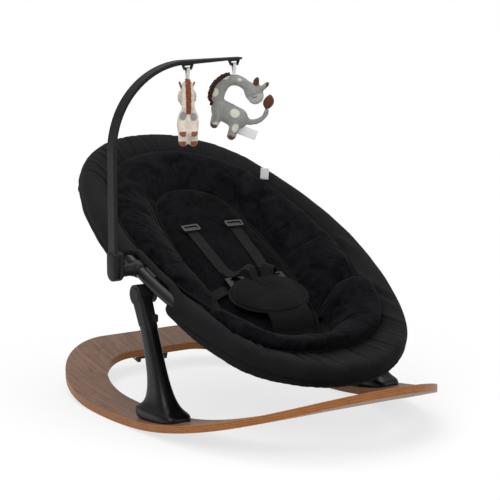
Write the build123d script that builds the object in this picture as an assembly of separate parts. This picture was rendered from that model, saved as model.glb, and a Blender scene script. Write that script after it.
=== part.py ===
"""Baby bouncer seat on a bent plywood rocker: oval tube frame, padded cover, harness and toy bar.

Millimetres. +X points to the sitter's feet, +Y to the sitter's left, +Z up. The model is built about the
rocker's lowest line on the floor and then moved so that the origin is the bottom centre of its box.
"""
from build123d import *
from math import asin, atan2, cos, degrees, hypot, pi, radians, sin, sqrt, tan
import os

# Rocker base: one plywood sheet bent about Y, cut as a ring
ROCKER_R = 1033.0
PLY_T = 12.4
BASE_BACK = -312.0
BASE_FRONT = 426.0
BASE_W = 500.0
BACK_CORNER = (258.0, 172.0)
FRONT_CORNER = (330.0, 225.0)
BAND_SIDE = 74.0
BAND_BACK = 66.0
BAND_FRONT = 62.0
OPENING_BACK_CORNER = (190.0, 118.0)
OPENING_FRONT_CORNER = (215.0, 128.0)

# Seat plane: recline and the place of its centre above the floor
RECLINE = 24.0
SEAT_X = 23.0
SEAT_Z = 274.0

# Frame tube, an oval of four arcs in the seat plane
FRAME_A = 356.0
FRAME_B = 214.0
FRAME_DROP = 8.0
END_RATIO = 0.84
TUBE_R = 10.0
TUBE_WALL = 1.5
SLEEVE_W = 28.0
SLEEVE_H = 36.0
SLEEVE_TOP = 8.0
SLEEVE_CORNER = 12.0
SOFT_GAP = 0.5
WINDOW_BACK = -8.0
WINDOW_FRONT = 138.0

# Recline pivot under the tube: bracket with a lug on the inner side, pin, washer and leg collar
PIVOT_U = 50.0
PIVOT_DROP = 40.0
SADDLE_LEN = 28.0
SADDLE_H = 22.0
SADDLE_GRIP = 8.0
LUG_T = 8.5
LUG_R = 15.0
LUG_INSET = 0.5
SWEEP_R = 35.0
PIN_R = 6.0
RUN_CLEAR = 0.05
WASHER_T = 1.5
WASHER_R = 14.0
WASHER_PLAY = 0.1
FIT_CLEAR = 0.2

# Legs
HUB_Y = 215.0
COLLAR_T = 24.0
HUB_R = 17.0
SEAM_DROP = 50.0
LEG_W = 33.0
LEG_D = 22.0
LEG_BOW = 1.5
SPIGOT_LEN = 30.0
SPIGOT_INSET = 5.0
FOOT_X = 117.0
FOOT_LEN = 116.0
FOOT_W = 54.0
FOOT_RISE = 19.0
FOOT_CORNER = 20.0
LEG_CORNER = 9.0
FLARE_H = 96.0
FLARE_STEPS = 10
FOOT_Y = 212.0
CAP_R = 12.5
CAP_T = 2.4
CAP_PROUD = 1.0
BUTTON_W = 8.0
BUTTON_H = 13.0
BUTTON_PROUD = 7.0
BUTTON_DEPTH = 6.0
BUTTON_TRAVEL = 4.0
BUTTON_DROP = 34.0
BUTTON_INWARD = 5.0
SCREW_R = 2.5
SCREW_HEAD_R = 5.0
SCREW_HEAD_T = 3.5
SCREW_BITE = 8.0
SCREW_PITCH = 60.0

# Folding stop under the back of the rocker
STOP_X = -264.0
STOP_Y = -10.0
STOP_W = 62.0
STOP_EAR = 6.0
STOP_T = 10.0
STOP_PIN_R = 2.5
STOP_PIN_DROP = 9.0
STOP_FLOOR_GAP = 1.0
STOP_PLAY = 0.4
STOP_PLATE_L = 24.0

# Toy bar and its holder
TOYBAR_U = 22.0
CLAMP_LEN = 22.0
CLAMP_SIDE = 28.0
CLAMP_FILLET = 6.0
NECK_R = 11.0
NECK_LEN = 18.0
STUB_R = 7.0
STUB_LEN = 9.0
HOLDER_W = 28.0
HOLDER_T = 19.0
HOLDER_UP = 32.0
HOLDER_DOWN = 16.0
HOLDER_GAP = 0.4
BAR_W = 22.0
BAR_T = 6.6
BAR_EDGE = 1.6
SOCKET_DEPTH = 36.0
BAR_TOP = 591.5
BAR_BEND_R = 138.0
BAR_TIP_Y = -12.0
TIP_W = 14.0
TIP_T = 3.2
TAPER_LEAD = 4.0
HOOK_TOP_W = 22.0
HOOK_LOW_W = 13.5
HOOK_H = 10.0
HOOK_T = 5.0
HOOK_WIRE = 2.6
HOOK_Y = (-24.0, -115.0)

# Soft parts. The bed that the child lies on dips more than the seat plane. A profile lists share and height:
# the share runs from 0 at the insert's outer seam to 1 at its seam with the back pad.
BED_TILT = 6.0
INSERT_A = 290.0
INSERT_B = 186.0
INSERT_U = -15.0
INSERT_GAP = 1.0
INSERT_UNDER = ((0.95, -56.8), (0.60, -47.0), (0.28, -31.0), (0.08, -17.2), (0.00, -8.0))
INSERT_OVER = ((0.015, 1.0), (0.08, 5.0), (0.16, 7.5), (0.26, 8.5))
INSERT_INNER = (
    (0.24, 10.5),
    (0.45, 3.0),
    (0.65, -9.0),
    (0.82, -22.0),
    (0.93, -33.0),
    (0.985, -38.0),
    (1.00, -44.0),
    (1.00, -80.0),
)
ROLL_OVER = ((0.005, 6.0), (0.08, 16.0), (0.20, 23.0), (0.36, 26.0))
ROLL_INNER = (
    (0.34, 28.5),
    (0.55, 22.0),
    (0.75, 8.0),
    (0.88, -10.0),
    (0.96, -26.0),
    (0.99, -36.0),
    (1.00, -44.0),
    (1.00, -80.0),
)
COVER_INSIDE = ((1.25, -62.5), (0.95, -57.6), (0.60, -47.8), (0.28, -31.9), (0.08, -18.2), (0.00, -13.0))
COVER_T = 6.0
COVER_LIP = 4.0
COVER_RIM_H = -12.0
COVER_GAP = 0.9
PAD_A = 208.0
PAD_B = 93.0
PAD_U = 4.0
PAD_PROFILE = (
    (26.0, -61.8),
    (10.0, -58.0),
    (3.0, -51.0),
    (0.0, -42.0),
    (3.0, -36.5),
    (12.0, -33.0),
    (30.0, -32.0),
)
PAD_TOP = -32.0
INSERT_SPLIT_U = 132.0
SPLIT_GAP = 1.0

# Harness
WEB_W = 22.0
WEB_T = 2.0
STRAP_TOP_U = -108.0
STRAP_LOW_U = 40.0
STRAP_TOP_V = 45.0
STRAP_LOW_V = 40.0
STRAP_LIFT = 0.5
ADJUSTER_W = 34.0
ADJUSTER_L = 15.0
ADJUSTER_BAR = 3.4
ADJUSTER_T = 3.6
ADJUSTER_U = -90.0
CROTCH_PAD_A = 47.0
CROTCH_PAD_B = 74.0
CROTCH_PAD_T = 13.0
CROTCH_PAD_U = 110.0
CROTCH_PAD_LIFT = 12.0
CROTCH_BAND_W = 92.0
CROTCH_BAND_T = 5.0
CROTCH_BAND_END_U = 180.0
WAIST_U = 66.0
WAIST_IN_V = 40.0
WAIST_OUT_V = 88.0
BUCKLE_L = 40.0
BUCKLE_W = 28.0
BUCKLE_T = 9.0
BUCKLE_SLOT = 4.0

# Plush toys: places are along the toy, and below the top of its neck
TOY_YAW = {"toy_grey": 56.0, "toy_cream": 150.0}
TOY_RIBBON = {"toy_grey": 17.0, "toy_cream": 19.0}
RIBBON_W = 6.0
RIBBON_T = 1.2
RIBBON_PLAY = 0.4
TOY_GAP = 0.3
NECK_PATH = ((-27.0, -46.0), (-20.0, -21.0), (-2.0, -9.6), (16.0, -15.5), (27.0, -27.0))
NECK_RADII = (11.5, 10.0, 9.5, 9.0, 9.0)
HEAD_LINE = ((33.0, -30.0), (36.0, -37.0))
HEAD_RADII = (16.0, 13.5)
TORSO_LINE = ((-22.0, -58.0), (6.0, -74.0))
TORSO_RADII = (16.5, 18.0)
LEG_LINES = (((-27.0, -66.0), (-33.0, -83.0)), ((3.0, -80.0), (-4.0, -102.0)))
LEG_RADII = (9.0, 7.5)
LEG_SPREAD = 8.5
TAIL_PATH = ((17.0, -76.0), (37.0, -79.0), (50.0, -71.0), (55.0, -57.0))
TAIL_RADII = (5.2, 4.8, 4.4, 4.0)
TUFT_LINE = ((55.5, -55.0), (57.0, -45.0))
TUFT_RADII = (7.5, 5.5)
EAR_LINES = (((36.0, -20.0), (41.0, -9.0)), ((43.0, -26.0), (58.0, -16.0)))
EAR_RADII = (5.0, 3.5)
EAR_SIDE = 7.0
MANE_T = 3.0
MANE_OUTLINE = (
    (-45.0, -50.0),
    (-44.0, -39.6),
    (-39.0, -24.0),
    (-31.0, -10.0),
    (-20.0, 0.0),
    (-10.0, 4.5),
    (-10.0, -5.0),
    (-20.0, -12.0),
    (-27.0, -26.0),
    (-32.0, -42.0),
    (-33.0, -52.0),
)

NODES = {}
JOINTS = {}


def add(name, shape):
    """Keeps one named node."""
    NODES[name] = shape


# Frames of reference

TILT = Pos(SEAT_X, 0, SEAT_Z) * Rot(0, RECLINE, 0)
BED = TILT * Pos(PAD_U, 0, 0) * Rot(0, BED_TILT, 0)


def seat_point(u, v, h):
    """A point of the seat plane, in the floor frame."""
    place = (TILT * Pos(u, v, h)).position
    return Vector(place.X, place.Y, place.Z)


def floor_height(x):
    """Height of the rocker's underside above the floor."""
    return ROCKER_R - sqrt(ROCKER_R**2 - x**2)


# Oval of four tangent arcs, with the sides' centres at (0, -+offset) and the ends' at (+-reach, 0)


def oval_arcs(a, b):
    end_r = END_RATIO * b
    reach = a - end_r
    side_r = (reach**2 + b**2 - end_r**2) / (2 * (b - end_r))
    swing = atan2(side_r - b, reach)
    touch = (reach + end_r * cos(swing), end_r * sin(swing))
    return end_r, reach, side_r, touch


def oval_face(a, b, h=0.0, u=0.0, dip=0.0):
    """An oval at height h about a centre at u, dipped towards the foot."""
    _, _, _, (tx, ty) = oval_arcs(a, b)
    edges = [
        ThreePointArc((tx, -ty), (a, 0), (tx, ty)),
        ThreePointArc((tx, ty), (0, b), (-tx, ty)),
        ThreePointArc((-tx, ty), (-a, 0), (-tx, -ty)),
        ThreePointArc((-tx, -ty), (0, -b), (tx, -ty)),
    ]
    return Pos(u, 0, 0) * Rot(0, dip, 0) * Pos(0, 0, h) * make_face(edges)


def oval_loft(sections):
    return loft([oval_face(*section) for section in sections], ruled=True)


def frame_arc(profile, centre, radius, start, end):
    """The profile, drawn about the tube's line, turned round a centre from start to end, in degrees."""
    section = Plane.XZ * (Pos(radius, 0) * profile)
    turned = revolve(section, axis=Axis.Z, revolution_arc=end - start)
    return Pos(centre[0], centre[1], -FRAME_DROP) * Rot(0, 0, start) * turned


def side_angle(u):
    """The turn from the seat's middle line to u along a side arc."""
    _, _, side_r, _ = oval_arcs(FRAME_A, FRAME_B)
    return degrees(asin(u / side_r))


def side_piece(profile, u_from, u_to, side):
    """A piece of frame section along one side arc; side is 1 for left and -1 for right."""
    _, _, side_r, _ = oval_arcs(FRAME_A, FRAME_B)
    low, high = side_angle(u_from), side_angle(u_to)
    if side > 0:
        return frame_arc(profile, (0, FRAME_B - side_r), side_r, 90 - high, 90 - low)
    return frame_arc(profile, (0, side_r - FRAME_B), side_r, low - 90, high - 90)


def frame_half(profile, u_from, direction):
    """A U of frame section: both sides from u_from to the head (-1) or the foot (1), and the end arc."""
    end_r, reach, _, (touch_u, touch_v) = oval_arcs(FRAME_A, FRAME_B)
    half_turn = degrees(atan2(touch_v, touch_u - reach))
    middle = 0 if direction > 0 else 180
    end = frame_arc(profile, (direction * reach, 0), end_r, middle - half_turn, middle + half_turn)
    u_low, u_high = sorted((u_from, direction * touch_u))
    return end + side_piece(profile, u_low, u_high, 1) + side_piece(profile, u_low, u_high, -1)


def frame_v(u):
    """The tube line's distance from the middle at u."""
    _, _, side_r, _ = oval_arcs(FRAME_A, FRAME_B)
    return FRAME_B - side_r + sqrt(side_r**2 - u**2)


# Rocker base


def ring_outline(x_low, x_high, half_w, back, front):
    """A face with straight sides and quarter-ellipse corners, one size at the back and one at the front."""
    edges = []
    for (long, wide), end, side, start in ((front, 1, 1, 0), (back, -1, 1, 90), (back, -1, -1, 180), (front, 1, -1, 270)):
        cx = x_high - long if end > 0 else x_low + long
        cy = side * (half_w - wide)
        edges.append(EllipticalCenterArc((cx, cy), long, wide, start_angle=start, arc_size=90))
    count = len(edges)
    edges += [Line(edges[i] @ 1, edges[(i + 1) % count] @ 0) for i in range(count)]
    return make_face(edges)


def rocker_slab(gap_below=0.0, gap_above=0.0):
    """The bent sheet before it is cut to outline, as a band between two arcs about the rocking centre."""
    outer, inner = ROCKER_R + gap_below, ROCKER_R - PLY_T - gap_above
    band = Circle(outer) - Circle(inner)
    keep = Pos(0, -ROCKER_R) * Rectangle(2.4 * BASE_FRONT, ROCKER_R)
    profile = Plane.XZ * (Pos(0, ROCKER_R) * (band & keep))
    return extrude(profile, BASE_W, both=True)


def vertical_prism(face):
    return extrude(face, ROCKER_R / 2)


def screw_places():
    places = []
    for side in (1, -1):
        for step in (-0.5, 0.5):
            places.append((FOOT_X + step * SCREW_PITCH, side * FOOT_Y))
    return places


def make_rocker():
    outer = ring_outline(BASE_BACK, BASE_FRONT, BASE_W / 2, BACK_CORNER, FRONT_CORNER)
    opening_back, opening_front = BASE_BACK + BAND_BACK, BASE_FRONT - BAND_FRONT
    opening_half = BASE_W / 2 - BAND_SIDE
    opening = ring_outline(opening_back, opening_front, opening_half, OPENING_BACK_CORNER, OPENING_FRONT_CORNER)
    base = rocker_slab() & vertical_prism(outer - opening)
    for x, y in screw_places():
        z = floor_height(x)
        base -= Pos(x, y, z) * Cylinder(SCREW_R + FIT_CLEAR, 3 * PLY_T)
        base -= Pos(x, y, z) * Cylinder(SCREW_HEAD_R + FIT_CLEAR, 2 * SCREW_HEAD_T)
    add("rocker_base", base)


def make_screws():
    screws = []
    for x, y in screw_places():
        head_low = floor_height(x) + FIT_CLEAR
        upward = (Align.CENTER, Align.CENTER, Align.MIN)
        head = Pos(x, y, head_low) * Cylinder(SCREW_HEAD_R, SCREW_HEAD_T - 2 * FIT_CLEAR, align=upward)
        shank = Pos(x, y, head_low) * Cylinder(SCREW_R, PLY_T + SCREW_BITE, align=upward)
        screws.append(head + shank)
    add("leg_screws", Compound(children=screws))


# Legs, with the pivot axis along Y at the top


def pivot_axis():
    place = seat_point(PIVOT_U, 0, -PIVOT_DROP)
    return place.X, place.Z


def collar_inner_y():
    return HUB_Y - COLLAR_T / 2


def lug_face_y():
    return collar_inner_y() - WASHER_T


def turned_about_pivot(radius, y_from, y_to):
    """A round piece on the pivot axis between two places along it."""
    axis_x, axis_z = pivot_axis()
    return Pos(axis_x, (y_from + y_to) / 2, axis_z) * Rot(90, 0, 0) * Cylinder(radius, abs(y_to - y_from))


def leg_section(x, y, z, length, width, corner):
    return Pos(x, y, z) * RectangleRounded(length, width, corner)


def make_leg(side, name):
    axis_x, axis_z = pivot_axis()
    top_y = HUB_Y
    seam_z = axis_z - SEAM_DROP

    def centre_y(z):
        return side * (FOOT_Y + (top_y - FOOT_Y) * z / axis_z)

    def centre_x(z):
        return FOOT_X + (axis_x - FOOT_X) * (z / axis_z) ** LEG_BOW

    def flare(z):
        """1 on the foot's edge, falling smoothly to 0 where the leg runs straight."""
        return max(0.0, 1.0 - max(0.0, z - FOOT_RISE) / FLARE_H) ** 3

    def leg_face(z):
        spread = flare(z)
        length = LEG_W + spread * (FOOT_LEN - LEG_W)
        width = LEG_D + spread * (FOOT_W - LEG_D)
        corner = LEG_CORNER + spread * (FOOT_CORNER - LEG_CORNER)
        return leg_section(centre_x(z), centre_y(z), z, length, width, corner)

    steps = [FOOT_RISE + FLARE_H * (i / FLARE_STEPS) ** 1.4 for i in range(FLARE_STEPS + 1)]
    upright = loft([leg_face(z) for z in (0.0, *steps, seam_z)], ruled=True)
    upright -= rocker_slab(gap_below=2 * ROCKER_R / 20)
    spigot_w, spigot_d = LEG_W - 2 * SPIGOT_INSET, LEG_D - 2 * SPIGOT_INSET

    def post(grow, low, high):
        low_face = leg_section(centre_x(low), centre_y(low), low, spigot_w + 2 * grow, spigot_d + 2 * grow, 4.0)
        high_face = leg_section(centre_x(high), centre_y(high), high, spigot_w + 2 * grow, spigot_d + 2 * grow, 4.0)
        return loft([low_face, high_face])

    upright += post(0.0, seam_z - 1.0, seam_z + SPIGOT_LEN)
    for x, y in screw_places():
        if y * side > 0:
            upright -= Pos(x, y, floor_height(x)) * Cylinder(SCREW_R, 2 * (PLY_T + SCREW_BITE + FIT_CLEAR))

    hub = Pos(axis_x, side * top_y, axis_z) * Rot(90, 0, 0) * Cylinder(HUB_R, COLLAR_T)
    neck = loft(
        [
            leg_section(centre_x(seam_z), centre_y(seam_z), seam_z, LEG_W + 1.6, LEG_D + 1.6, 9.5),
            leg_section(axis_x, side * top_y, axis_z, 2 * HUB_R, COLLAR_T, 5.0),
        ]
    )
    collar = hub + neck
    collar -= turned_about_pivot(SWEEP_R, 0, side * collar_inner_y())
    collar -= post(FIT_CLEAR, seam_z - 2.0, seam_z + SPIGOT_LEN + 2 * FIT_CLEAR)
    collar -= Pos(axis_x, side * top_y, axis_z) * Rot(90, 0, 0) * Cylinder(PIN_R + RUN_CLEAR, 2 * COLLAR_T)
    outer_y = side * (top_y + COLLAR_T / 2)
    recess = Cylinder(CAP_R + FIT_CLEAR, 2 * (CAP_T - CAP_PROUD))
    collar -= Pos(axis_x, outer_y, axis_z) * Rot(90, 0, 0) * recess
    cap_y = side * (top_y + COLLAR_T / 2 + CAP_PROUD - CAP_T / 2)
    cap = Pos(axis_x, cap_y, axis_z) * Rot(90, 0, 0) * Cylinder(CAP_R, CAP_T)
    cap = fillet(cap.faces().sort_by(Axis.Y)[-1 if side > 0 else 0].edges(), CAP_PROUD * 0.8)

    button_z = axis_z - BUTTON_DROP
    button_y = centre_y(button_z) - side * BUTTON_INWARD
    face_x = centre_x(button_z) + HUB_R
    pocket_from = face_x - BUTTON_DEPTH - BUTTON_TRAVEL

    def key_block(grow, low, high):
        face = RectangleRounded(BUTTON_W + 2 * grow, BUTTON_H + 2 * grow, 2.5)
        return Pos(low, button_y, button_z) * extrude(Plane.YZ * face, high - low)

    pocket = key_block(FIT_CLEAR, pocket_from, face_x + HUB_R)
    collar -= pocket
    upright -= pocket
    button = key_block(0.0, face_x - BUTTON_DEPTH, face_x + BUTTON_PROUD)
    button = fillet(button.faces().sort_by(Axis.X)[-1].edges(), 1.2)
    add(f"leg_{name}", upright)
    add(f"leg_collar_{name}", collar)
    add(f"pivot_cap_{name}", cap)
    add(f"release_button_{name}", button)
    JOINTS[f"release_button_{name}"] = (face_x, button_y, button_z)


def make_washers():
    axis_x, axis_z = pivot_axis()
    ring = Circle(WASHER_R) - Circle(PIN_R + FIT_CLEAR)
    washers = []
    for side in (1, -1):
        middle = side * (collar_inner_y() - WASHER_T / 2)
        disc = extrude(ring, WASHER_T / 2 - WASHER_PLAY, both=True)
        washers.append(Pos(axis_x, middle, axis_z) * Rot(90, 0, 0) * disc)
    add("pivot_washers", Compound(children=washers))


# Folding stop


def make_stop():
    """The flap lies folded back under the band and swings down to the floor."""
    pin_z = floor_height(STOP_X) - STOP_PIN_DROP
    slope = degrees(asin(-STOP_X / ROCKER_R))
    place = Pos(STOP_X, STOP_Y, pin_z) * Rot(0, slope, 0)
    upward = (Align.CENTER, Align.CENTER, Align.MIN)
    ear_low = STOP_PIN_R + 2.5
    block = place * Pos(0, 0, -ear_low) * Box(STOP_PLATE_L, STOP_W, 3 * STOP_PIN_DROP, align=upward)
    block -= rocker_slab(gap_above=ROCKER_R / 10)
    room = STOP_W / 2 - STOP_EAR
    gap_r = STOP_T / 2 + STOP_PLAY
    block -= place * Pos(0, 0, -2 * gap_r) * Box(2 * STOP_PLATE_L, 2 * room, 3 * gap_r, align=upward)
    pin = place * Rot(90, 0, 0) * Cylinder(STOP_PIN_R, STOP_W)
    add("stop_bracket", block - pin)
    add("stop_pin", pin)
    reach = pin_z - STOP_FLOOR_GAP
    profile = Circle(STOP_T / 2) + Pos(-reach / 2, 0) * RectangleRounded(reach, STOP_T, 2.0)
    profile -= Circle(STOP_PIN_R + RUN_CLEAR)
    add("rocker_stop", place * extrude(Plane.XZ * profile, room - STOP_PLAY, both=True))
    JOINTS["rocker_stop"] = (STOP_X, STOP_Y, pin_z)


# Seat frame


def make_frame():
    tube = Circle(TUBE_R) - Circle(TUBE_R - TUBE_WALL)
    sleeve = Pos(0, SLEEVE_TOP - SLEEVE_H / 2) * RectangleRounded(SLEEVE_W, SLEEVE_H, SLEEVE_CORNER)
    sleeve -= Circle(TUBE_R + SOFT_GAP)
    add("frame_tube_head", TILT * frame_half(tube, PIVOT_U, -1))
    add("frame_tube_foot", TILT * frame_half(tube, PIVOT_U, 1))
    add("rim_sleeve_head", TILT * frame_half(sleeve, WINDOW_BACK, -1))
    add("rim_sleeve_foot", TILT * frame_half(sleeve, WINDOW_FRONT, 1))


def make_brackets():
    """A saddle on the tube's inner side with a lug that hangs down beside the leg collar."""
    axis_x, axis_z = pivot_axis()
    lug_out = lug_face_y()
    lug_in = lug_out - LUG_T
    saddle_out = frame_v(PIVOT_U) - TUBE_R + SADDLE_GRIP
    lug = Pos(PIVOT_U, -PIVOT_DROP) * Circle(LUG_R)
    lug += Pos(PIVOT_U, -(PIVOT_DROP + FRAME_DROP) / 2) * Rectangle(2 * LUG_R, PIVOT_DROP - FRAME_DROP)
    for side, name in ((1, "left"), (-1, "right")):
        plate = Pos(0, max(side * lug_in, side * lug_out), 0) * extrude(Plane.XZ * lug, LUG_T)
        saddle_mid = side * (lug_in + saddle_out) / 2
        plate += Pos(PIVOT_U, saddle_mid, -FRAME_DROP) * Box(SADDLE_LEN, saddle_out - lug_in, SADDLE_H)
        plate -= side_piece(Circle(TUBE_R + RUN_CLEAR), PIVOT_U - SADDLE_LEN, PIVOT_U + SADDLE_LEN, side)
        pin_out = HUB_Y + COLLAR_T / 2 + CAP_PROUD - CAP_T - FIT_CLEAR
        pin = turned_about_pivot(PIN_R, side * (lug_in + LUG_INSET), side * pin_out)
        add(f"pivot_bracket_{name}", TILT * plate - pin)
        add(f"pivot_pin_{name}", pin)
    JOINTS["seat_recline"] = (axis_x, 0.0, axis_z)


# Toy bar


def taper_start(post_y):
    return post_y + BAR_BEND_R + TAPER_LEAD


def bar_underside(post_y, y):
    """Height of the underside of the bar's tapered end."""
    start = taper_start(post_y)
    return BAR_TOP - BAR_T / 2 + (BAR_T - TIP_T) * (y - start) / (BAR_TIP_Y - start)


def make_toy_bar():
    section = RectangleRounded(CLAMP_SIDE, CLAMP_SIDE, CLAMP_FILLET) - Circle(TUBE_R + RUN_CLEAR)
    clamp = TILT * side_piece(section, TOYBAR_U - CLAMP_LEN / 2, TOYBAR_U + CLAMP_LEN / 2, -1)
    axis = seat_point(TOYBAR_U, 0, -FRAME_DROP)
    face_y = -(frame_v(TOYBAR_U) + CLAMP_SIDE / 2)
    neck_y = face_y - NECK_LEN

    def round_y(radius, y_from, y_to):
        return Pos(axis.X, (y_from + y_to) / 2, axis.Z) * Rot(90, 0, 0) * Cylinder(radius, abs(y_from - y_to))

    neck = round_y(NECK_R, face_y + NECK_LEN / 3, neck_y) + round_y(STUB_R, neck_y, neck_y - STUB_LEN)
    add("toybar_clamp", clamp + (neck - TILT * side_piece(Circle(TUBE_R + RUN_CLEAR), 0, 2 * TOYBAR_U, -1)))

    inner_y = neck_y - HOLDER_GAP
    outer_y = inner_y - HOLDER_T
    shape = Pos(0, (HOLDER_UP - HOLDER_DOWN) / 2) * Rectangle(HOLDER_W, HOLDER_UP + HOLDER_DOWN)
    shape = fillet(shape.vertices().group_by(Axis.Y)[0], HOLDER_W * 0.46)
    shape = fillet(shape.vertices().group_by(Axis.Y)[-1], 2.0)
    holder = Pos(axis.X, inner_y, axis.Z) * extrude(Plane.XZ * shape, HOLDER_T)
    holder -= round_y(STUB_R + RUN_CLEAR, inner_y + 1.0, neck_y - STUB_LEN - FIT_CLEAR)
    post_y = outer_y + BAR_T / 2 + 2.4
    holder_top = axis.Z + HOLDER_UP
    bar_low = holder_top - SOCKET_DEPTH
    socket = Box(BAR_W + 2 * FIT_CLEAR, BAR_T + 2 * FIT_CLEAR, 2 * SOCKET_DEPTH)
    holder -= Pos(axis.X, post_y, holder_top) * socket
    add("toybar_holder", holder)

    path = FilletPolyline(
        (axis.X, post_y, bar_low + FIT_CLEAR), (axis.X, post_y, BAR_TOP), (axis.X, BAR_TIP_Y, BAR_TOP), radius=BAR_BEND_R
    )
    blade = RectangleRounded(BAR_W, BAR_T, BAR_EDGE)
    bar = sweep(Plane(path @ 0, x_dir=(1, 0, 0), z_dir=path % 0) * blade, path=path)
    start, past = taper_start(post_y), BAR_TIP_Y + BAR_T
    low, deep = bar_underside(post_y, start), BAR_TOP - 2 * BAR_T
    under = make_face(Polyline((start, low), (past, bar_underside(post_y, past)), (past, deep), (start, deep), close=True))
    bar -= Pos(axis.X, 0, 0) * extrude(Plane.YZ * under, BAR_W, both=True)
    narrowing = (BAR_W - TIP_W) / 2 / (BAR_TIP_Y - start)
    for side in (1, -1):
        full, less = side * BAR_W / 2, side * (BAR_W / 2 - narrowing * (past - start))
        beside = make_face(Polyline((full, start), (less, past), (2 * full, past), (2 * full, start), close=True))
        bar -= Pos(axis.X, 0, BAR_TOP) * extrude(beside, BAR_W, both=True)
    add("toy_bar", bar)

    for place, name in zip(HOOK_Y, ("inner", "outer")):
        outline = make_face(
            Polyline(
                (-HOOK_TOP_W / 2, 0), (HOOK_TOP_W / 2, 0), (HOOK_LOW_W / 2, -HOOK_H), (-HOOK_LOW_W / 2, -HOOK_H), close=True
            )
        )
        outline = fillet(outline.vertices().group_by(Axis.Y)[0], 2.5)
        loop = outline - offset(outline, -HOOK_WIRE)
        hook = extrude(Plane.YZ * loop, HOOK_T / 2, both=True)
        lean = degrees(atan2(BAR_T - TIP_T, BAR_TIP_Y - start))
        add(f"toy_hook_{name}", Pos(axis.X, place, bar_underside(post_y, place)) * Rot(lean, 0, 0) * hook)
    JOINTS["toy_bar_swing"] = (axis.X, inner_y, axis.Z)
    return axis.X, [bar_underside(post_y, place) for place in HOOK_Y]


# Soft parts of the seat


def share_oval(share, h, grow=0.0):
    """The oval at a share of the way from the insert's outer seam to the back pad."""
    inner_a, inner_b = PAD_A + INSERT_GAP, PAD_B + INSERT_GAP
    a = INSERT_A + share * (inner_a - INSERT_A) + grow
    b = INSERT_B + share * (inner_b - INSERT_B) + grow
    u = INSERT_U + min(share, 1.0) * (PAD_U - INSERT_U)
    return a, b, h, u, min(share, 1.0) * BED_TILT


def make_cover():
    """A bowl from the rim down to under the back pad, cut back beside the pivot brackets."""
    rim_in = SLEEVE_W / 2 + COVER_GAP
    rim_a, rim_b = FRAME_A - rim_in, FRAME_B - rim_in
    inside = [share_oval(share, h) for share, h in COVER_INSIDE]
    inside.append((rim_a - COVER_LIP, rim_b - COVER_LIP, COVER_RIM_H + SOFT_GAP))
    outside = [share_oval(share, h - COVER_T, COVER_T / 2) for share, h in COVER_INSIDE]
    outside.append((rim_a, rim_b, COVER_RIM_H))
    cover = oval_loft(outside) - oval_loft(inside)
    length, clear_v = WINDOW_FRONT - WINDOW_BACK, lug_face_y() - LUG_T - 4 * SOFT_GAP
    for side in (1, -1):
        room = Box(length, FRAME_B, FRAME_B, align=(Align.MIN, Align.MIN if side > 0 else Align.MAX, Align.CENTER))
        cover -= Pos(WINDOW_BACK, side * clear_v, 0) * room
    add("seat_cover", TILT * cover)


def make_back_pad():
    sections = [(PAD_A - inset, PAD_B - inset, h) for inset, h in PAD_PROFILE]
    add("back_pad", BED * oval_loft(sections))


def insert_ring(over, inner):
    """A padded ring between the cover's wall and the pad, crowned between its seams."""
    outer = oval_loft([share_oval(share, h) for share, h in INSERT_UNDER + over])
    return outer - oval_loft([share_oval(share, h) for share, h in inner])


def make_inserts():
    span = 4 * FRAME_A
    upper = insert_ring(INSERT_OVER, INSERT_INNER)
    upper -= Pos(INSERT_SPLIT_U - SPLIT_GAP / 2 + span / 2, 0, 0) * Box(span, span, span)
    lower = insert_ring(ROLL_OVER, ROLL_INNER)
    lower -= Pos(INSERT_SPLIT_U + SPLIT_GAP / 2 - span / 2, 0, 0) * Box(span, span, span)
    add("upper_insert", TILT * upper)
    add("lower_roll", TILT * lower)


# Harness


def strap(points, width, thickness):
    """Flat webbing through points in the seat plane's (u, h), drawn about v = 0."""
    line = Polyline(*[(u, h) for u, h in points])
    side = offset(line, amount=thickness / 2, side=Side.BOTH)
    return extrude(Plane.XZ * make_face(side.edges()), width / 2, both=True)


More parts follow.
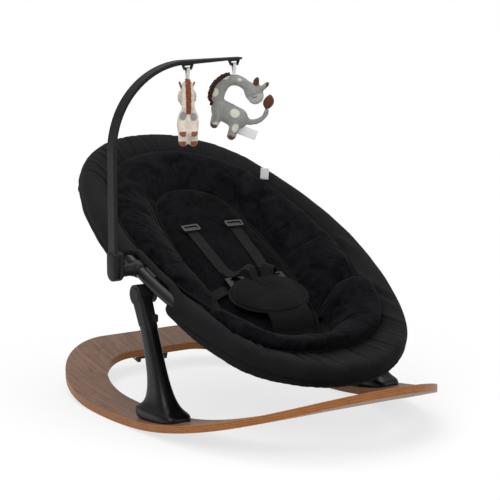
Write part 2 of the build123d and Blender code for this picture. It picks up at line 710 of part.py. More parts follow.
def make_harness():
    lie = PAD_TOP + STRAP_LIFT + WEB_T / 2
    for side, name in ((1, "left"), (-1, "right")):
        run, sideways = STRAP_LOW_U - STRAP_TOP_U, STRAP_LOW_V - STRAP_TOP_V
        web = strap(((STRAP_TOP_U, lie), (STRAP_LOW_U, lie)), WEB_W, WEB_T)
        turn = Pos(STRAP_TOP_U, side * STRAP_TOP_V, 0) * Rot(0, 0, degrees(atan2(side * sideways, run)))
        add(f"shoulder_strap_{name}", BED * turn * Pos(-STRAP_TOP_U, 0, 0) * web)
        frame = RectangleRounded(ADJUSTER_L, ADJUSTER_W, 3.0)
        window = RectangleRounded(ADJUSTER_L - 2 * ADJUSTER_BAR, ADJUSTER_W - 2 * ADJUSTER_BAR, 1.5)
        glide = extrude(frame - window, ADJUSTER_T)
        bar = Box(ADJUSTER_BAR, ADJUSTER_W - ADJUSTER_BAR, ADJUSTER_T / 2, align=(Align.CENTER, Align.CENTER, Align.MIN))
        glide_h = lie + WEB_T / 2 + SOFT_GAP / 2
        glide = turn * Pos(ADJUSTER_U - STRAP_TOP_U, 0, glide_h) * (glide + bar)
        add(f"shoulder_adjuster_{name}", BED * glide)

        waist = strap(((-WEB_W / 2, lie), (WEB_W / 2, lie)), WAIST_OUT_V - WAIST_IN_V - BUCKLE_L / 2, WEB_T)
        waist_v = side * (WAIST_OUT_V + WAIST_IN_V + BUCKLE_L / 2) / 2
        add(f"waist_strap_{name}", BED * Pos(WAIST_U, waist_v, 0) * waist)
        block = extrude(RectangleRounded(BUCKLE_W, BUCKLE_L, 5.0), BUCKLE_T)
        block = fillet(block.faces().sort_by(Axis.Z)[-1].edges(), 2.5)
        for edge in (-1, 1):
            block -= Pos(edge * BUCKLE_W * 0.24, 0, BUCKLE_T) * Box(BUCKLE_SLOT, BUCKLE_L * 0.55, BUCKLE_T)
        buckle_v = side * (WAIST_IN_V - SOFT_GAP)
        add(f"waist_buckle_{name}", BED * Pos(WAIST_U, buckle_v, lie + WEB_T / 2 + SOFT_GAP) * block)


def make_crotch():
    lift = PAD_TOP + CROTCH_PAD_LIFT
    pad_low, pad_top = lift, lift + CROTCH_PAD_T
    shape = [
        (CROTCH_PAD_A - 5.0, CROTCH_PAD_B - 5.0, pad_low),
        (CROTCH_PAD_A, CROTCH_PAD_B, (pad_low + pad_top) / 2),
        (CROTCH_PAD_A - 7.0, CROTCH_PAD_B - 7.0, pad_top),
    ]
    pad = loft([Pos(0, 0, h) * Ellipse(a, b) for a, b, h in shape])
    add("crotch_pad", BED * Pos(CROTCH_PAD_U, 0, 0) * pad)
    lie = PAD_TOP + STRAP_LIFT + CROTCH_BAND_T / 2
    start = CROTCH_PAD_U - CROTCH_PAD_A / 3
    band = strap(((start, lift - CROTCH_BAND_T / 2 - SOFT_GAP), (CROTCH_PAD_U, lift - CROTCH_BAND_T / 2 - SOFT_GAP),
                  (CROTCH_BAND_END_U, lie)), CROTCH_BAND_W, CROTCH_BAND_T)
    add("crotch_band", BED * band)


# Plush toys: drawn in their own XZ plane with the ribbon's end at the origin


def limb(start, end, radii):
    """A tapered limb with round ends between two points of the toy's plane."""
    (x0, z0), (x1, z1) = start, end
    length = hypot(x1 - x0, z1 - z0)
    lean = asin((radii[0] - radii[1]) / length)

    def skin(tip, turn):
        return radii[tip] * cos(turn), tip * length + radii[tip] * sin(turn)

    low, high = (0, -radii[0]), (0, length + radii[1])
    edges = [
        ThreePointArc(low, skin(0, (lean - pi / 2) / 2), skin(0, lean)),
        Line(skin(0, lean), skin(1, lean)),
        ThreePointArc(skin(1, lean), skin(1, (lean + pi / 2) / 2), high),
        Line(high, low),
    ]
    shape = revolve(Plane.XZ * make_face(edges), axis=Axis.Z)
    return Pos(x0, 0, z0) * Rot(0, degrees(atan2(x1 - x0, z1 - z0)), 0) * shape


def round_face(radius):
    """A circle as four arcs."""
    edges = []
    for start in range(0, 360, 90):
        turns = [radians(start + step) for step in (0, 45, 90)]
        edges.append(ThreePointArc(*[(radius * cos(turn), radius * sin(turn)) for turn in turns]))
    return make_face(edges)


def path_turns(path):
    """The direction of a bent limb at each of its points."""
    last = len(path) - 1
    pairs = [(path[max(i - 1, 0)], path[min(i + 1, last)]) for i in range(last + 1)]
    return [Vector(b[0] - a[0], 0, b[1] - a[1]).normalized() for a, b in pairs]


def bent_limb(path, radii):
    """A soft tube that swells and tapers along a bent neck or tail."""
    sections = []
    for (x, z), turn, radius in zip(path, path_turns(path), radii):
        sections.append(Plane(origin=(x, 0, z), x_dir=(0, 1, 0), z_dir=turn) * round_face(radius))
    return loft(sections)


def mane_strip():
    """A flat strip standing up from the outside of the neck."""
    face = make_face(Polyline(*MANE_OUTLINE, close=True))
    return extrude(Plane.XZ * face, MANE_T / 2, both=True)


def ribbon_loop(length):
    """A ribbon sewn to the toy and looped round the hook's lower bar, drawn above the toy's top."""
    turn_r = hypot(HOOK_T, HOOK_WIRE) / 2 + RIBBON_PLAY
    middle = length - HOOK_WIRE / 2

    def drop(radius, low, low_half):
        sides = Polyline((-radius, middle), (radius, middle), (low_half, low), (-low_half, low), close=True)
        return make_face(sides) + Pos(0, middle) * Circle(radius)

    loop = drop(turn_r + RIBBON_T, TOY_GAP, RIBBON_T) - drop(turn_r, 3 * RIBBON_T, RIBBON_T / 4)
    return extrude(Plane.XZ * loop, RIBBON_W / 2, both=True)


def toy_parts():
    torso = limb(*TORSO_LINE, TORSO_RADII)
    neck = bent_limb(NECK_PATH, NECK_RADII)
    head = limb(*HEAD_LINE, HEAD_RADII)
    legs = [Pos(0, side * LEG_SPREAD, 0) * limb(*line, LEG_RADII) for line in LEG_LINES for side in (1, -1)]
    tail = bent_limb(TAIL_PATH, TAIL_RADII)
    tuft = limb(*TUFT_LINE, TUFT_RADII)
    ears = [Pos(0, side * EAR_SIDE, 0) * limb(*line, EAR_RADII) for line in EAR_LINES for side in (1, -1)]
    return torso, neck, head, legs, tail, tuft, ears


def make_toy(name, hook_x, hook_y, hook_z):
    hang = hook_z - HOOK_H + HOOK_WIRE
    ribbon_len = TOY_RIBBON[name]
    torso, neck, head, legs, tail, tuft, ears = toy_parts()
    middle = Pos(hook_x, hook_y, hang - ribbon_len)
    place = middle * Rot(0, 0, TOY_YAW[name])
    add(f"{name}_body", place * torso)
    add(f"{name}_neck", place * (neck - torso))
    add(f"{name}_head", place * (head - neck))
    add(f"{name}_legs", place * Compound(children=[leg - torso for leg in legs]))
    add(f"{name}_tail", place * (tail - torso))
    add(f"{name}_tuft", place * (tuft - tail))
    add(f"{name}_ears", place * Compound(children=[ear - head - neck for ear in ears]))
    add(f"{name}_mane", place * (mane_strip() - neck - torso))
    add(f"{name}_ribbon", middle * ribbon_loop(ribbon_len))
    JOINTS[f"{name}_swing"] = (hook_x, hook_y, hang - HOOK_WIRE / 2)


def main():
    make_rocker()
    make_screws()
    for side, name in ((1, "left"), (-1, "right")):
        make_leg(side, name)
    make_washers()
    make_stop()
    make_frame()
    make_brackets()
    hook_x, hook_heights = make_toy_bar()
    make_cover()
    make_back_pad()
    make_inserts()
    make_harness()
    make_crotch()
    for name, hook_y, hook_z in zip(("toy_grey", "toy_cream"), HOOK_Y, hook_heights):
        make_toy(name, hook_x, hook_y, hook_z)

    box = Compound(children=[Compound(children=list(shape.solids())) for shape in NODES.values()]).bounding_box()
    shift = Vector(-(box.min.X + box.max.X) / 2, -(box.min.Y + box.max.Y) / 2, -box.min.Z)
    os.makedirs("parts", exist_ok=True)
    for name, shape in NODES.items():
        export_step(Compound(children=list((Pos(shift) * shape).solids())), f"parts/{name}.step")
    print("shift", *[round(value, 3) for value in shift])
    print("size", *[round(value, 1) for value in box.size])
    for name, place in JOINTS.items():
        print("joint", name, *[round(a + b, 3) for a, b in zip(place, shift)])


main()
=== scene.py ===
"""Looks of the baby bouncer: padded seat, harness, plush toys, materials, light and camera.

Forms are in millimetres and are turned into metres when a mesh is made. Materials and lights use metres.
"""
import bmesh
import bpy
import math
import numpy as np
from mathutils import Matrix, Vector, noise
from mathutils.bvhtree import BVHTree


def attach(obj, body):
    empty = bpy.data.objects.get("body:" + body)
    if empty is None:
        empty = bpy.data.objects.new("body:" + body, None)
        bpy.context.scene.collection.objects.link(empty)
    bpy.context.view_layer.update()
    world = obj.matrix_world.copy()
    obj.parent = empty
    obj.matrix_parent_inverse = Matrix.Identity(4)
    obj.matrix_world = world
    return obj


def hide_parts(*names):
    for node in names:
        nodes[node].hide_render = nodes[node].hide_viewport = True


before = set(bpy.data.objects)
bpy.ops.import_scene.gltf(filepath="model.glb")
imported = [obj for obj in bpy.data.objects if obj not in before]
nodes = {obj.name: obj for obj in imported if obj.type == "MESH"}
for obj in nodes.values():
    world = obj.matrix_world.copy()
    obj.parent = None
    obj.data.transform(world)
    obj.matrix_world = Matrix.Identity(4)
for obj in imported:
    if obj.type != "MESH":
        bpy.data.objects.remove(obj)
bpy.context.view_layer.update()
scene = bpy.context.scene

MM = 0.001
TURN = 2 * math.pi

# Places of the CAD model in its own frame, which MOVE takes to the row frame
# On the seat, u runs from the head to the foot, v to the left and h up from the plane of the rim
MOVE = np.array([-50.095, 7.514, 0.0])
RECLINE = math.radians(24.0)
SEAT_X, SEAT_Z = 23.0, 274.0
END_RATIO = 0.84
FRAME_A, FRAME_B, FRAME_DROP = 356.0, 214.0, 8.0
SLEEVE_W, SLEEVE_H, SLEEVE_TOP = 28.0, 36.0, 8.0
WINDOW_BACK, WINDOW_FRONT = -8.0, 138.0
INSERT_A, INSERT_B, INSERT_U = 290.0, 186.0, -15.0
PAD_A, PAD_B, PAD_U = 208.0, 93.0, 4.0
BED_TILT = math.radians(6.0)
SPLIT_U = 132.0
BASE_CENTRE_Z, BASE_INNER_R, BASE_T = 1033.0, 1020.6, 12.4
AXIS_X, AXIS_Z, HUB_Y = 52.41, 217.12, 215.0
FOOT_X, FOOT_Y = 117.0, 212.0

# Places of the toy bar and the toys in the row frame
BAR_AXIS_X, BAR_AXIS_Z, HOLDER_Y = -10.25, 257.74, -257.5
HOOK_X, HOOK_Y = -10.25, {"grey": -16.486, "cream": -107.486}
RIBBON_L = {"grey": 17.0, "cream": 19.0}
HANG_Z = {"grey": 583.81 - RIBBON_L["grey"], "cream": 580.88 - RIBBON_L["cream"]}
TOY_YAW = {"grey": 56.0, "cream": 150.0}

SIDES = ((1, "left"), (-1, "right"))


# Frames of reference


def seat_world(points):
    """Points of the seat plane (u, v, h) in metres of the row frame."""
    p = np.asarray(points, float)
    c, s = math.cos(RECLINE), math.sin(RECLINE)
    x = SEAT_X + p[..., 0] * c + p[..., 2] * s
    z = SEAT_Z - p[..., 0] * s + p[..., 2] * c
    return (np.stack([x, p[..., 1], z], -1) + MOVE) * MM


def bed_seat(points):
    """Points on the bed that the child lies on, as points of the seat plane."""
    p = np.asarray(points, float)
    c, s = math.cos(BED_TILT), math.sin(BED_TILT)
    u = PAD_U + p[..., 0] * c + p[..., 2] * s
    return np.stack([u, p[..., 1], -p[..., 0] * s + p[..., 2] * c], -1)


def level(x, y, h):
    """Points at one height, or at a height for each."""
    return np.stack([x, y, h + np.zeros_like(x)], -1)


def unit(v):
    """A direction, or a row of directions, of length 1."""
    return v / np.linalg.norm(v, axis=-1, keepdims=True)


def run_along(points):
    """How far each point lies along the line through all of them."""
    return np.concatenate([[0.0], np.cumsum(np.linalg.norm(np.diff(points, axis=0), axis=1))])


def oval(a, b, phi):
    """Points of the four-arc oval whose outward normal has the angle phi."""
    end_r = END_RATIO * b
    reach = a - end_r
    side_r = (reach**2 + b**2 - end_r**2) / (2 * (b - end_r))
    swing = math.atan2(side_r - b, reach)
    c, s = np.cos(phi), np.sin(phi)
    at_end = np.abs(c) > math.cos(swing)
    x = np.where(at_end, np.sign(c) * reach + end_r * c, side_r * c)
    y = np.where(at_end, end_r * s, np.sign(s) * (b - side_r) + side_r * s)
    return x, y


def spread_phi(a, b, start, end, count):
    """Angles between start and end that lie evenly along the oval."""
    fine = np.linspace(start, end, 6000)
    x, y = oval(a, b, fine)
    run = np.concatenate([[0.0], np.cumsum(np.hypot(np.diff(x), np.diff(y)))])
    return np.interp(np.linspace(0, run[-1], count), run, fine)


def all_round(a, b, count):
    """Angles that lie evenly round the whole oval."""
    return spread_phi(a, b, 0.0, TURN, count + 1)[:-1]


def layer(share, h, phi, grow=0.0):
    """The oval at a share of the way from the insert's outer seam to the back pad, in the seat plane."""
    a = INSERT_A + share * (PAD_A + 1 - INSERT_A) + grow
    b = INSERT_B + share * (PAD_B + 1 - INSERT_B) + grow
    k = min(share, 1.0)
    x, y = oval(a, b, phi)
    dip = k * BED_TILT
    c, s = math.cos(dip), math.sin(dip)
    h = h + np.zeros_like(x)
    return np.stack([INSERT_U + k * (PAD_U - INSERT_U) + x * c + h * s, y, -x * s + h * c], -1)


LEFT_HALF = np.linspace(0.0, math.pi, 4000)


def phi_at(share, u):
    """The angle on the left side at which that layer's oval reaches u."""
    return float(np.interp(-u, -layer(share, 0.0, LEFT_HALF)[:, 0], LEFT_HALF))


def tube_phi(u):
    """The angle on the left side at which the tube's oval reaches u."""
    return float(np.interp(-u, -oval(FRAME_A, FRAME_B, LEFT_HALF)[0], LEFT_HALF))


def curve_at(points, i, t):
    """The Catmull-Rom curve through points, at a share t of the way from point i to the next."""
    ext = [2 * points[0] - points[1], *points, 2 * points[-1] - points[-2]]
    a, b, c, d = ext[i : i + 4]
    bend, twist = 2 * a - 5 * b + 4 * c - d, 3 * b - a - 3 * c + d
    return 0.5 * (2 * b + (c - a) * t + bend * t**2 + twist * t**3)


BAND_WIDTH = 90.0


def smooth_profile(points, count):
    """A smooth line through points, evenly spaced. Pairs are a share of a width and a height."""
    p = np.asarray(points, float)
    steps = np.linspace(0, 1, 24, endpoint=False)
    out = np.array([curve_at(p, i, t) for i in range(len(p) - 1) for t in steps] + [p[-1]])
    scale = np.ones(p.shape[1])
    if p.shape[1] == 2:
        scale[0] = BAND_WIDTH
    run = run_along(out * scale)
    want = np.linspace(0, run[-1], count)
    return np.stack([np.interp(want, run, out[:, k]) for k in range(p.shape[1])], -1)


def smooth_rows(points, count):
    """Rows of points on a smooth curve through the given rows."""
    out = []
    for q in np.linspace(0, len(points) - 1, count):
        i = min(int(q), len(points) - 2)
        out.append(curve_at(points, i, q - i))
    return out


def eased(path):
    """The path with each inner point pulled halfway to its neighbours."""
    path = path.copy()
    path[1:-1] = (path[:-2] + 2 * path[1:-1] + path[2:]) / 4
    return path


def hump(x, centre, half):
    """A soft bump of height 1 about a centre."""
    return np.exp(-(((x - centre) / half) ** 2))


def limited(x):
    """A number or numbers, kept between 0 and 1."""
    return np.clip(x, 0, 1)


def around(angle):
    """Angles brought to within half a turn of zero."""
    return (angle + math.pi) % TURN - math.pi


def wobble(points, size, amount, seed):
    """A smooth random offset for each point, in the points' own unit, the same on every run."""
    shift = Vector((seed * 17.3, seed * 5.1, seed * 9.7))
    spots = np.asarray(points).reshape(-1, 3)
    return amount * np.array([noise.noise(Vector(p) / size + shift) for p in spots])


def unsettle(grid, size, amount, seed, rows):
    """Raises and lowers the chosen rows of a grid a little, smoothly and at random."""
    grid[:, :, 2] += wobble(grid, size, amount, seed).reshape(grid.shape[:2]) * rows[:, None]


# Meshes


def new_object(name, verts, faces, material=None):
    mesh = bpy.data.meshes.new(name)
    mesh.from_pydata([tuple(v) for v in verts], [], faces)
    mesh.update()
    mesh.polygons.foreach_set("use_smooth", [True] * len(mesh.polygons))
    obj = bpy.data.objects.new(name, mesh)
    scene.collection.objects.link(obj)
    if material:
        mesh.materials.append(material)
    return obj


def read_points(obj, key="co"):
    """The places or the normals of an object's points."""
    values = np.zeros(len(obj.data.vertices) * 3, np.float32)
    obj.data.vertices.foreach_get(key, values)
    return values.reshape(-1, 3)


def move_points(obj, places):
    obj.data.vertices.foreach_set("co", places.astype(np.float32).ravel())


def grid_faces(rows, cols, wrap_rows=False, wrap_cols=False):
    faces = []
    for j in range(rows if wrap_rows else rows - 1):
        for i in range(cols if wrap_cols else cols - 1):
            k, m = (j + 1) % rows, (i + 1) % cols
            faces.append((j * cols + i, j * cols + m, k * cols + m, k * cols + i))
    return faces


def cap_faces(base, count):
    """Faces that close a ring of points whose halves mirror each other, straight from side to side."""
    half, last = count // 2, base + count
    faces = [(base, base + 1, last - 1), (base + half - 1, base + half, base + half + 1)]
    return faces + [(base + i, base + i + 1, last - i - 1, last - i) for i in range(1, half - 1)]


def outward(obj):
    """Turns the faces so that they look outwards."""
    bm = bmesh.new()
    bm.from_mesh(obj.data)
    bmesh.ops.recalc_face_normals(bm, faces=bm.faces)
    bm.to_mesh(obj.data)
    bm.free()
    obj.data.polygons.foreach_set("use_smooth", [True] * len(obj.data.polygons))
    return obj


def ring_object(name, grid, wrap, material):
    """An object from rows of points. The profile closes on itself, and the rows wrap round or are capped."""
    rows, cols, _ = grid.shape
    faces = grid_faces(rows, cols, wrap_rows=True, wrap_cols=wrap)
    if not wrap:
        faces.append(tuple(j * cols for j in range(rows)))
        faces.append(tuple(j * cols + cols - 1 for j in reversed(range(rows))))
    return outward(new_object(name, grid.reshape(-1, 3), faces, material))


def stacked_object(name, grid, material):
    """An object from rings of points, one above the other, closed at the first and the last."""
    rows, cols, _ = grid.shape
    faces = grid_faces(rows, cols, wrap_cols=True)
    faces += cap_faces(0, cols) + cap_faces((rows - 1) * cols, cols)
    return outward(new_object(name, grid.reshape(-1, 3), faces, material))


def tube_mesh(name, path, radius, material, closed=False, sides=8, lift=(0.0, 0.0, 1.0)):
    """A tube along points in metres. Its radius may change; lift is a direction that it never runs in."""
    p = np.asarray(path, float)
    n = len(p)
    tangent = np.roll(p, -1, 0) - np.roll(p, 1, 0)
    if not closed:
        tangent[0], tangent[-1] = p[1] - p[0], p[-1] - p[-2]
    tangent = unit(tangent)
    side = unit(np.cross(tangent, np.array(lift)))
    up = np.cross(side, tangent)
    r = np.broadcast_to(radius, (n,))[:, None]
    angles = np.linspace(0, TURN, sides, endpoint=False)
    rows = [p + r * (math.cos(t) * side + math.sin(t) * up) for t in angles]
    return ring_object(name, np.array(rows), closed, material)


def strip_mesh(name, path, across, width, thick, material, bow=0.0):
    """Flat webbing along points in metres; across is the direction of its width at each point."""
    p, a = np.asarray(path, float), unit(np.asarray(across, float))
    up = unit(np.cross(np.gradient(p, axis=0), a))
    half, t = width / 2, thick / 2
    outline = [(-half, 0)] + [(half * s, t) for s in (-0.985, -0.9, -0.5, 0, 0.5, 0.9, 0.985)] + [(half, 0)]
    outline += [(x, -y) for x, y in reversed(outline[1:-1])]
    rows = [p + a * x + up * (y + bow * (1 - (x / half) ** 2)) for x, y in outline]
    return ring_object(name, np.array(rows), False, material)


def paint(obj, values, name="patch"):
    """Keeps a number for each point, which a material reads by name."""
    mask = obj.data.attributes.new(name, "FLOAT", "POINT")
    mask.data.foreach_set("value", np.asarray(values, np.float32))


def join(objs, name):
    """One object in place of several, with their materials and no painted patches."""
    verts, faces, index, materials = [], [], [], []
    for o in objs:
        base = len(verts)
        verts += [tuple(v.co) for v in o.data.vertices]
        materials += [m for m in o.data.materials if m not in materials]
        for f in o.data.polygons:
            faces.append([base + i for i in f.vertices])
            index.append(materials.index(o.data.materials[f.material_index]))
    made = new_object(name, verts, faces)
    for m in materials:
        made.data.materials.append(m)
    made.data.polygons.foreach_set("material_index", index)
    paint(made, np.zeros(len(verts)))
    for o in objs:
        data = o.data
        bpy.data.objects.remove(o)
        bpy.data.meshes.remove(data)
    return made


def subdivide(obj):
    mod = obj.modifiers.new("smooth", "SUBSURF")
    mod.levels = mod.render_levels = 1
    return obj


def stitches(name, path, normal, material, length=3.6, gap=2.0, radius=0.38, sides=6):
    """A row of thread stitches along points in metres. Each dips into the cloth at both ends."""
    p = np.asarray(path, float)
    run = run_along(p)
    step = (length + gap) * MM
    verts, faces = [], []
    for k in range(int(run[-1] / step)):
        base = len(verts)
        spots = k * step + np.array([0.0, 0.25, 0.75, 1.0]) * length * MM
        at = np.stack([np.interp(spots, run, p[:, i]) for i in range(3)], -1)
        side = unit(np.cross(unit(at[-1] - at[0]), normal))
        for point, rise in zip(at, (-0.25, 0.28, 0.28, -0.25)):
            for t in np.linspace(0, TURN, sides, endpoint=False):
                spoke = math.cos(t) * side + math.sin(t) * normal
                verts.append(point + normal * rise * MM + spoke * radius * MM)
        faces += [tuple(base + i for i in face) for face in grid_faces(len(at), sides, wrap_cols=True)]
    return new_object(name, verts, faces, material)


def row_points(rows, cols, picks=None):
    """The numbers of the points in some rows of a grid, or in some columns of those rows."""
    return [j * cols + i for j in rows for i in (range(cols) if picks is None else picks)]


def puff(obj, seams, pressure, cap, grow, frames=20):
    """Swells a sewn piece as cloth filled from inside, held at its seams, by at most cap millimetres."""
    obj.vertex_groups.new(name="seams").add(seams, 1.0, "REPLACE")
    rest = read_points(obj)
    mod = obj.modifiers.new("cloth", "CLOTH")
    cloth = mod.settings
    cloth.quality = 6
    cloth.mass = 0.2
    cloth.tension_stiffness = cloth.compression_stiffness = 12
    cloth.shear_stiffness = 4
    cloth.bending_stiffness = 0.4
    cloth.use_pressure = True
    cloth.uniform_pressure_force = pressure
    cloth.shrink_min = -grow
    cloth.vertex_group_mass = "seams"
    cloth.effector_weights.gravity = 0
    mod.collision_settings.use_collision = False
    mod.point_cache.frame_start, mod.point_cache.frame_end = 1, frames
    for f in range(1, frames + 1):
        scene.frame_set(f)
    move = read_points(obj.evaluated_get(bpy.context.evaluated_depsgraph_get())) - rest
    far = np.linalg.norm(move, axis=1)
    keep = np.where(far > cap * MM, cap * MM / np.maximum(far, 1e-9), 1.0)
    obj.modifiers.remove(mod)
    move_points(obj, rest + move * keep[:, None])
    obj.data.update()
    scene.frame_set(1)


def pooled(objs):
    """The points and the faces of several objects together."""
    verts, faces = [], []
    for o in objs:
        base = len(verts)
        verts += [v.co.copy() for v in o.data.vertices]
        faces += [[base + i for i in f.vertices] for f in o.data.polygons]
    return verts, faces


def surface_tree(*objs):
    """What a ray can hit of these objects, in the row frame."""
    return BVHTree.FromPolygons(*pooled(objs))


def first_hit(tree, start, end):
    """Where a ray from start towards end first meets the surface, or nothing."""
    start, end = Vector(tuple(start)), Vector(tuple(end))
    return tree.ray_cast(start, (end - start).normalized())[0]


SEAT_UP = np.array(Vector(tuple(seat_world([0, 0, 1.0]) - seat_world([0, 0, 0.0]))).normalized())
ABOVE_SEAT = 90.0


def drop_on(tree, seat_points, lift):
    """Points of the seat plane set down along its normal onto a surface, lift millimetres above it."""
    up = Vector(SEAT_UP)
    out = []
    for q in seat_points:
        hit = tree.ray_cast(Vector(tuple(seat_world([q[0], q[1], ABOVE_SEAT]))), -up)[0]
        base = hit if hit else Vector(tuple(seat_world(q)))
        out.append(np.array(base + up * lift * MM))
    return np.array(out)


# Materials


def tint(color, share):
    return tuple(c * share for c in color)


def set_inputs(node, **values):
    """Sets a node's sockets by name, with an underscore for a space."""
    for key, value in values.items():
        node.inputs[key.replace("_", " ")].default_value = value


class Nodes:
    """A material and short calls that add nodes to it."""

    def __init__(self, name, color, roughness, **sockets):
        self.mat = bpy.data.materials.new(name)
        self.mat.use_nodes = True
        self.tree = self.mat.node_tree
        self.shader = self.tree.nodes["Principled BSDF"]
        set_inputs(self.shader, Base_Color=(*color, 1), Roughness=roughness, **sockets)
        places = self.node("ShaderNodeTexCoord").outputs
        self.coords, self.normal = places["Object"], places["Normal"]
        self.height = None

    def node(self, kind, **values):
        n = self.tree.nodes.new(kind)
        for key, value in values.items():
            setattr(n, key, value)
        return n

    def link(self, a, b):
        self.tree.links.new(a, b)

    def put(self, socket, value):
        """Gives a socket a number, a colour or another node's output."""
        if isinstance(value, (int, float)):
            socket.default_value = value
        elif isinstance(value, tuple):
            socket.default_value = (*value, 1)
        else:
            self.link(value, socket)

    def noise(self, scale, detail=3.0, rough=0.55, stretch=None, distortion=0.0):
        n = self.node("ShaderNodeTexNoise")
        set_inputs(n, Scale=scale, Detail=detail, Roughness=rough, Distortion=distortion)
        coords = self.coords
        if stretch:
            mapping = self.node("ShaderNodeMapping")
            set_inputs(mapping, Scale=stretch)
            self.link(coords, mapping.inputs["Vector"])
            coords = mapping.outputs["Vector"]
        self.link(coords, n.inputs["Vector"])
        return n.outputs["Fac"]

    def wave(self, period, axis, distortion):
        n = self.node("ShaderNodeTexWave", wave_type="BANDS", bands_direction=axis, wave_profile="SIN")
        set_inputs(n, Scale=TURN / (20 * period), Distortion=distortion, Detail=1.0)
        self.link(self.coords, n.inputs["Vector"])
        return n.outputs["Fac"]

    def ramp(self, fac, *stops):
        n = self.node("ShaderNodeValToRGB")
        ramp = n.color_ramp
        while len(ramp.elements) < len(stops):
            ramp.elements.new(0.5)
        for element, (place, color) in zip(ramp.elements, stops):
            element.position = place
            element.color = (*color, 1)
        self.link(fac, n.inputs["Fac"])
        return n.outputs["Color"]

    def step(self, fac, low, high):
        """Black up to low and white from high on."""
        return self.ramp(fac, (low, (0, 0, 0)), (high, (1, 1, 1)))

    def math(self, kind, *values):
        n = self.node("ShaderNodeMath", operation=kind)
        for socket, value in zip(n.inputs, values):
            self.put(socket, value)
        return n.outputs["Value"]

    def sum(self, a, share_a, b, share_b):
        return self.math("ADD", self.math("MULTIPLY", a, share_a), self.math("MULTIPLY", b, share_b))

    def mix(self, fac, a, b, blend="MIX"):
        n = self.node("ShaderNodeMix", data_type="RGBA", blend_type=blend)
        for key, value in ((0, fac), (6, a), (7, b)):
            self.put(n.inputs[key], value)
        return n.outputs[2]

    def attribute(self, name):
        return self.node("ShaderNodeAttribute", attribute_name=name).outputs["Fac"]

    def color(self, socket):
        self.link(socket, self.shader.inputs["Base Color"])

    def roughness(self, fac, low, high):
        n = self.node("ShaderNodeMapRange")
        set_inputs(n, To_Min=low, To_Max=high)
        self.link(fac, n.inputs["Value"])
        self.link(n.outputs["Result"], self.shader.inputs["Roughness"])

    def bump(self, height, distance, strength):
        n = self.node("ShaderNodeBump")
        set_inputs(n, Distance=distance, Strength=strength)
        self.link(height, n.inputs["Height"])
        if self.height is not None:
            self.link(self.height, n.inputs["Normal"])
        self.height = n.outputs["Normal"]
        self.link(self.height, self.shader.inputs["Normal"])


def fabric(name, dark, light, period, sheen=0.02):
    """Smooth woven cloth: a fine crossed weave, uneven dye and a soft sheen."""
    m = Nodes(name, light, 0.85, Sheen_Weight=sheen, Sheen_Roughness=0.5, Specular_IOR_Level=0.08)
    weave = m.math("MULTIPLY", m.wave(period, "X", 0.4), m.wave(period, "Y", 0.4))
    weave = m.math("ADD", weave, m.math("MULTIPLY", m.wave(period, "Z", 0.4), 0.6))
    patch = m.noise(14, 4, 0.6)
    m.color(m.ramp(m.sum(patch, 0.8, weave, 0.18), (0.25, dark), (0.75, light)))
    m.roughness(patch, 0.75, 0.95)
    m.bump(weave, 0.00025, 0.5)
    m.bump(m.noise(220, 3), 0.0004, 0.35)
    return m.mat


def velvet(name, dark, light):
    """Short-pile cloth whose nap lies light and dark in brushed patches."""
    m = Nodes(name, light, 0.95, Sheen_Weight=0.035, Sheen_Roughness=0.35, Specular_IOR_Level=0.04)
    brushed = m.noise(26, 5, 0.62, distortion=1.2)
    strokes = m.noise(60, 4, 0.6, stretch=(1.0, 2.4, 1.0), distortion=0.8)
    nap = m.sum(brushed, 0.65, strokes, 0.35)
    middle = tuple((a + b) / 2 for a, b in zip(dark, light))
    m.color(m.ramp(nap, (0.34, dark), (0.5, middle), (0.66, light)))
    m.roughness(nap, 0.85, 1.0)
    m.bump(m.noise(2600, 2), 0.0003, 0.5)
    m.bump(nap, 0.0012, 0.35)
    return m.mat


def webbing(name, dark, light):
    """Ribbed woven tape."""
    m = Nodes(name, light, 0.75, Sheen_Weight=0.02, Sheen_Roughness=0.4, Specular_IOR_Level=0.12)
    rib = m.wave(0.0016, "DIAGONAL", 0.3)
    cross = m.wave(0.0011, "Y", 0.2)
    m.color(m.ramp(m.sum(rib, 0.5, m.noise(80, 3), 0.5), (0.2, dark), (0.8, light)))
    m.bump(m.math("ADD", rib, cross), 0.0003, 0.7)
    return m.mat


def plastic(name, color, rough, grain=900.0, bump=0.00012):
    """Moulded plastic with a fine spark-eroded grain, a little uneven gloss and sharp edges painted lighter
    as a highlight.
    """
    m = Nodes(name, color, rough, Specular_IOR_Level=0.22)
    cloud = m.noise(9, 3)
    speck = m.noise(grain, 2)
    # Painted highlight: sharp edges are mixed halfway to a lighter copy of the colour
    painted_edge_highlight = m.step(m.node("ShaderNodeNewGeometry").outputs["Pointiness"], 0.52, 0.60)
    light = tuple(min(1.0, c * 1.9 + 0.006) for c in color)
    shade = m.ramp(cloud, (0.3, tint(color, 0.85)), (0.7, tint(color, 1.15)))
    m.color(m.mix(m.math("MULTIPLY", painted_edge_highlight, 0.5), shade, light))
    m.roughness(m.sum(speck, 0.6, cloud, 0.4), rough - 0.08, rough + 0.1)
    m.bump(speck, bump, 0.5)
    return m.mat


WALNUT = (
    (0.30, (0.112, 0.052, 0.031)),
    (0.47, (0.215, 0.112, 0.071)),
    (0.60, (0.290, 0.164, 0.108)),
    (0.74, (0.172, 0.088, 0.055)),
)
PLIES = (
    (0.0, (0.325, 0.118, 0.022)),
    (0.46, (0.355, 0.136, 0.027)),
    (0.54, (0.225, 0.072, 0.013)),
    (1.0, (0.280, 0.096, 0.017)),
)
PLY_COUNT = 3.5


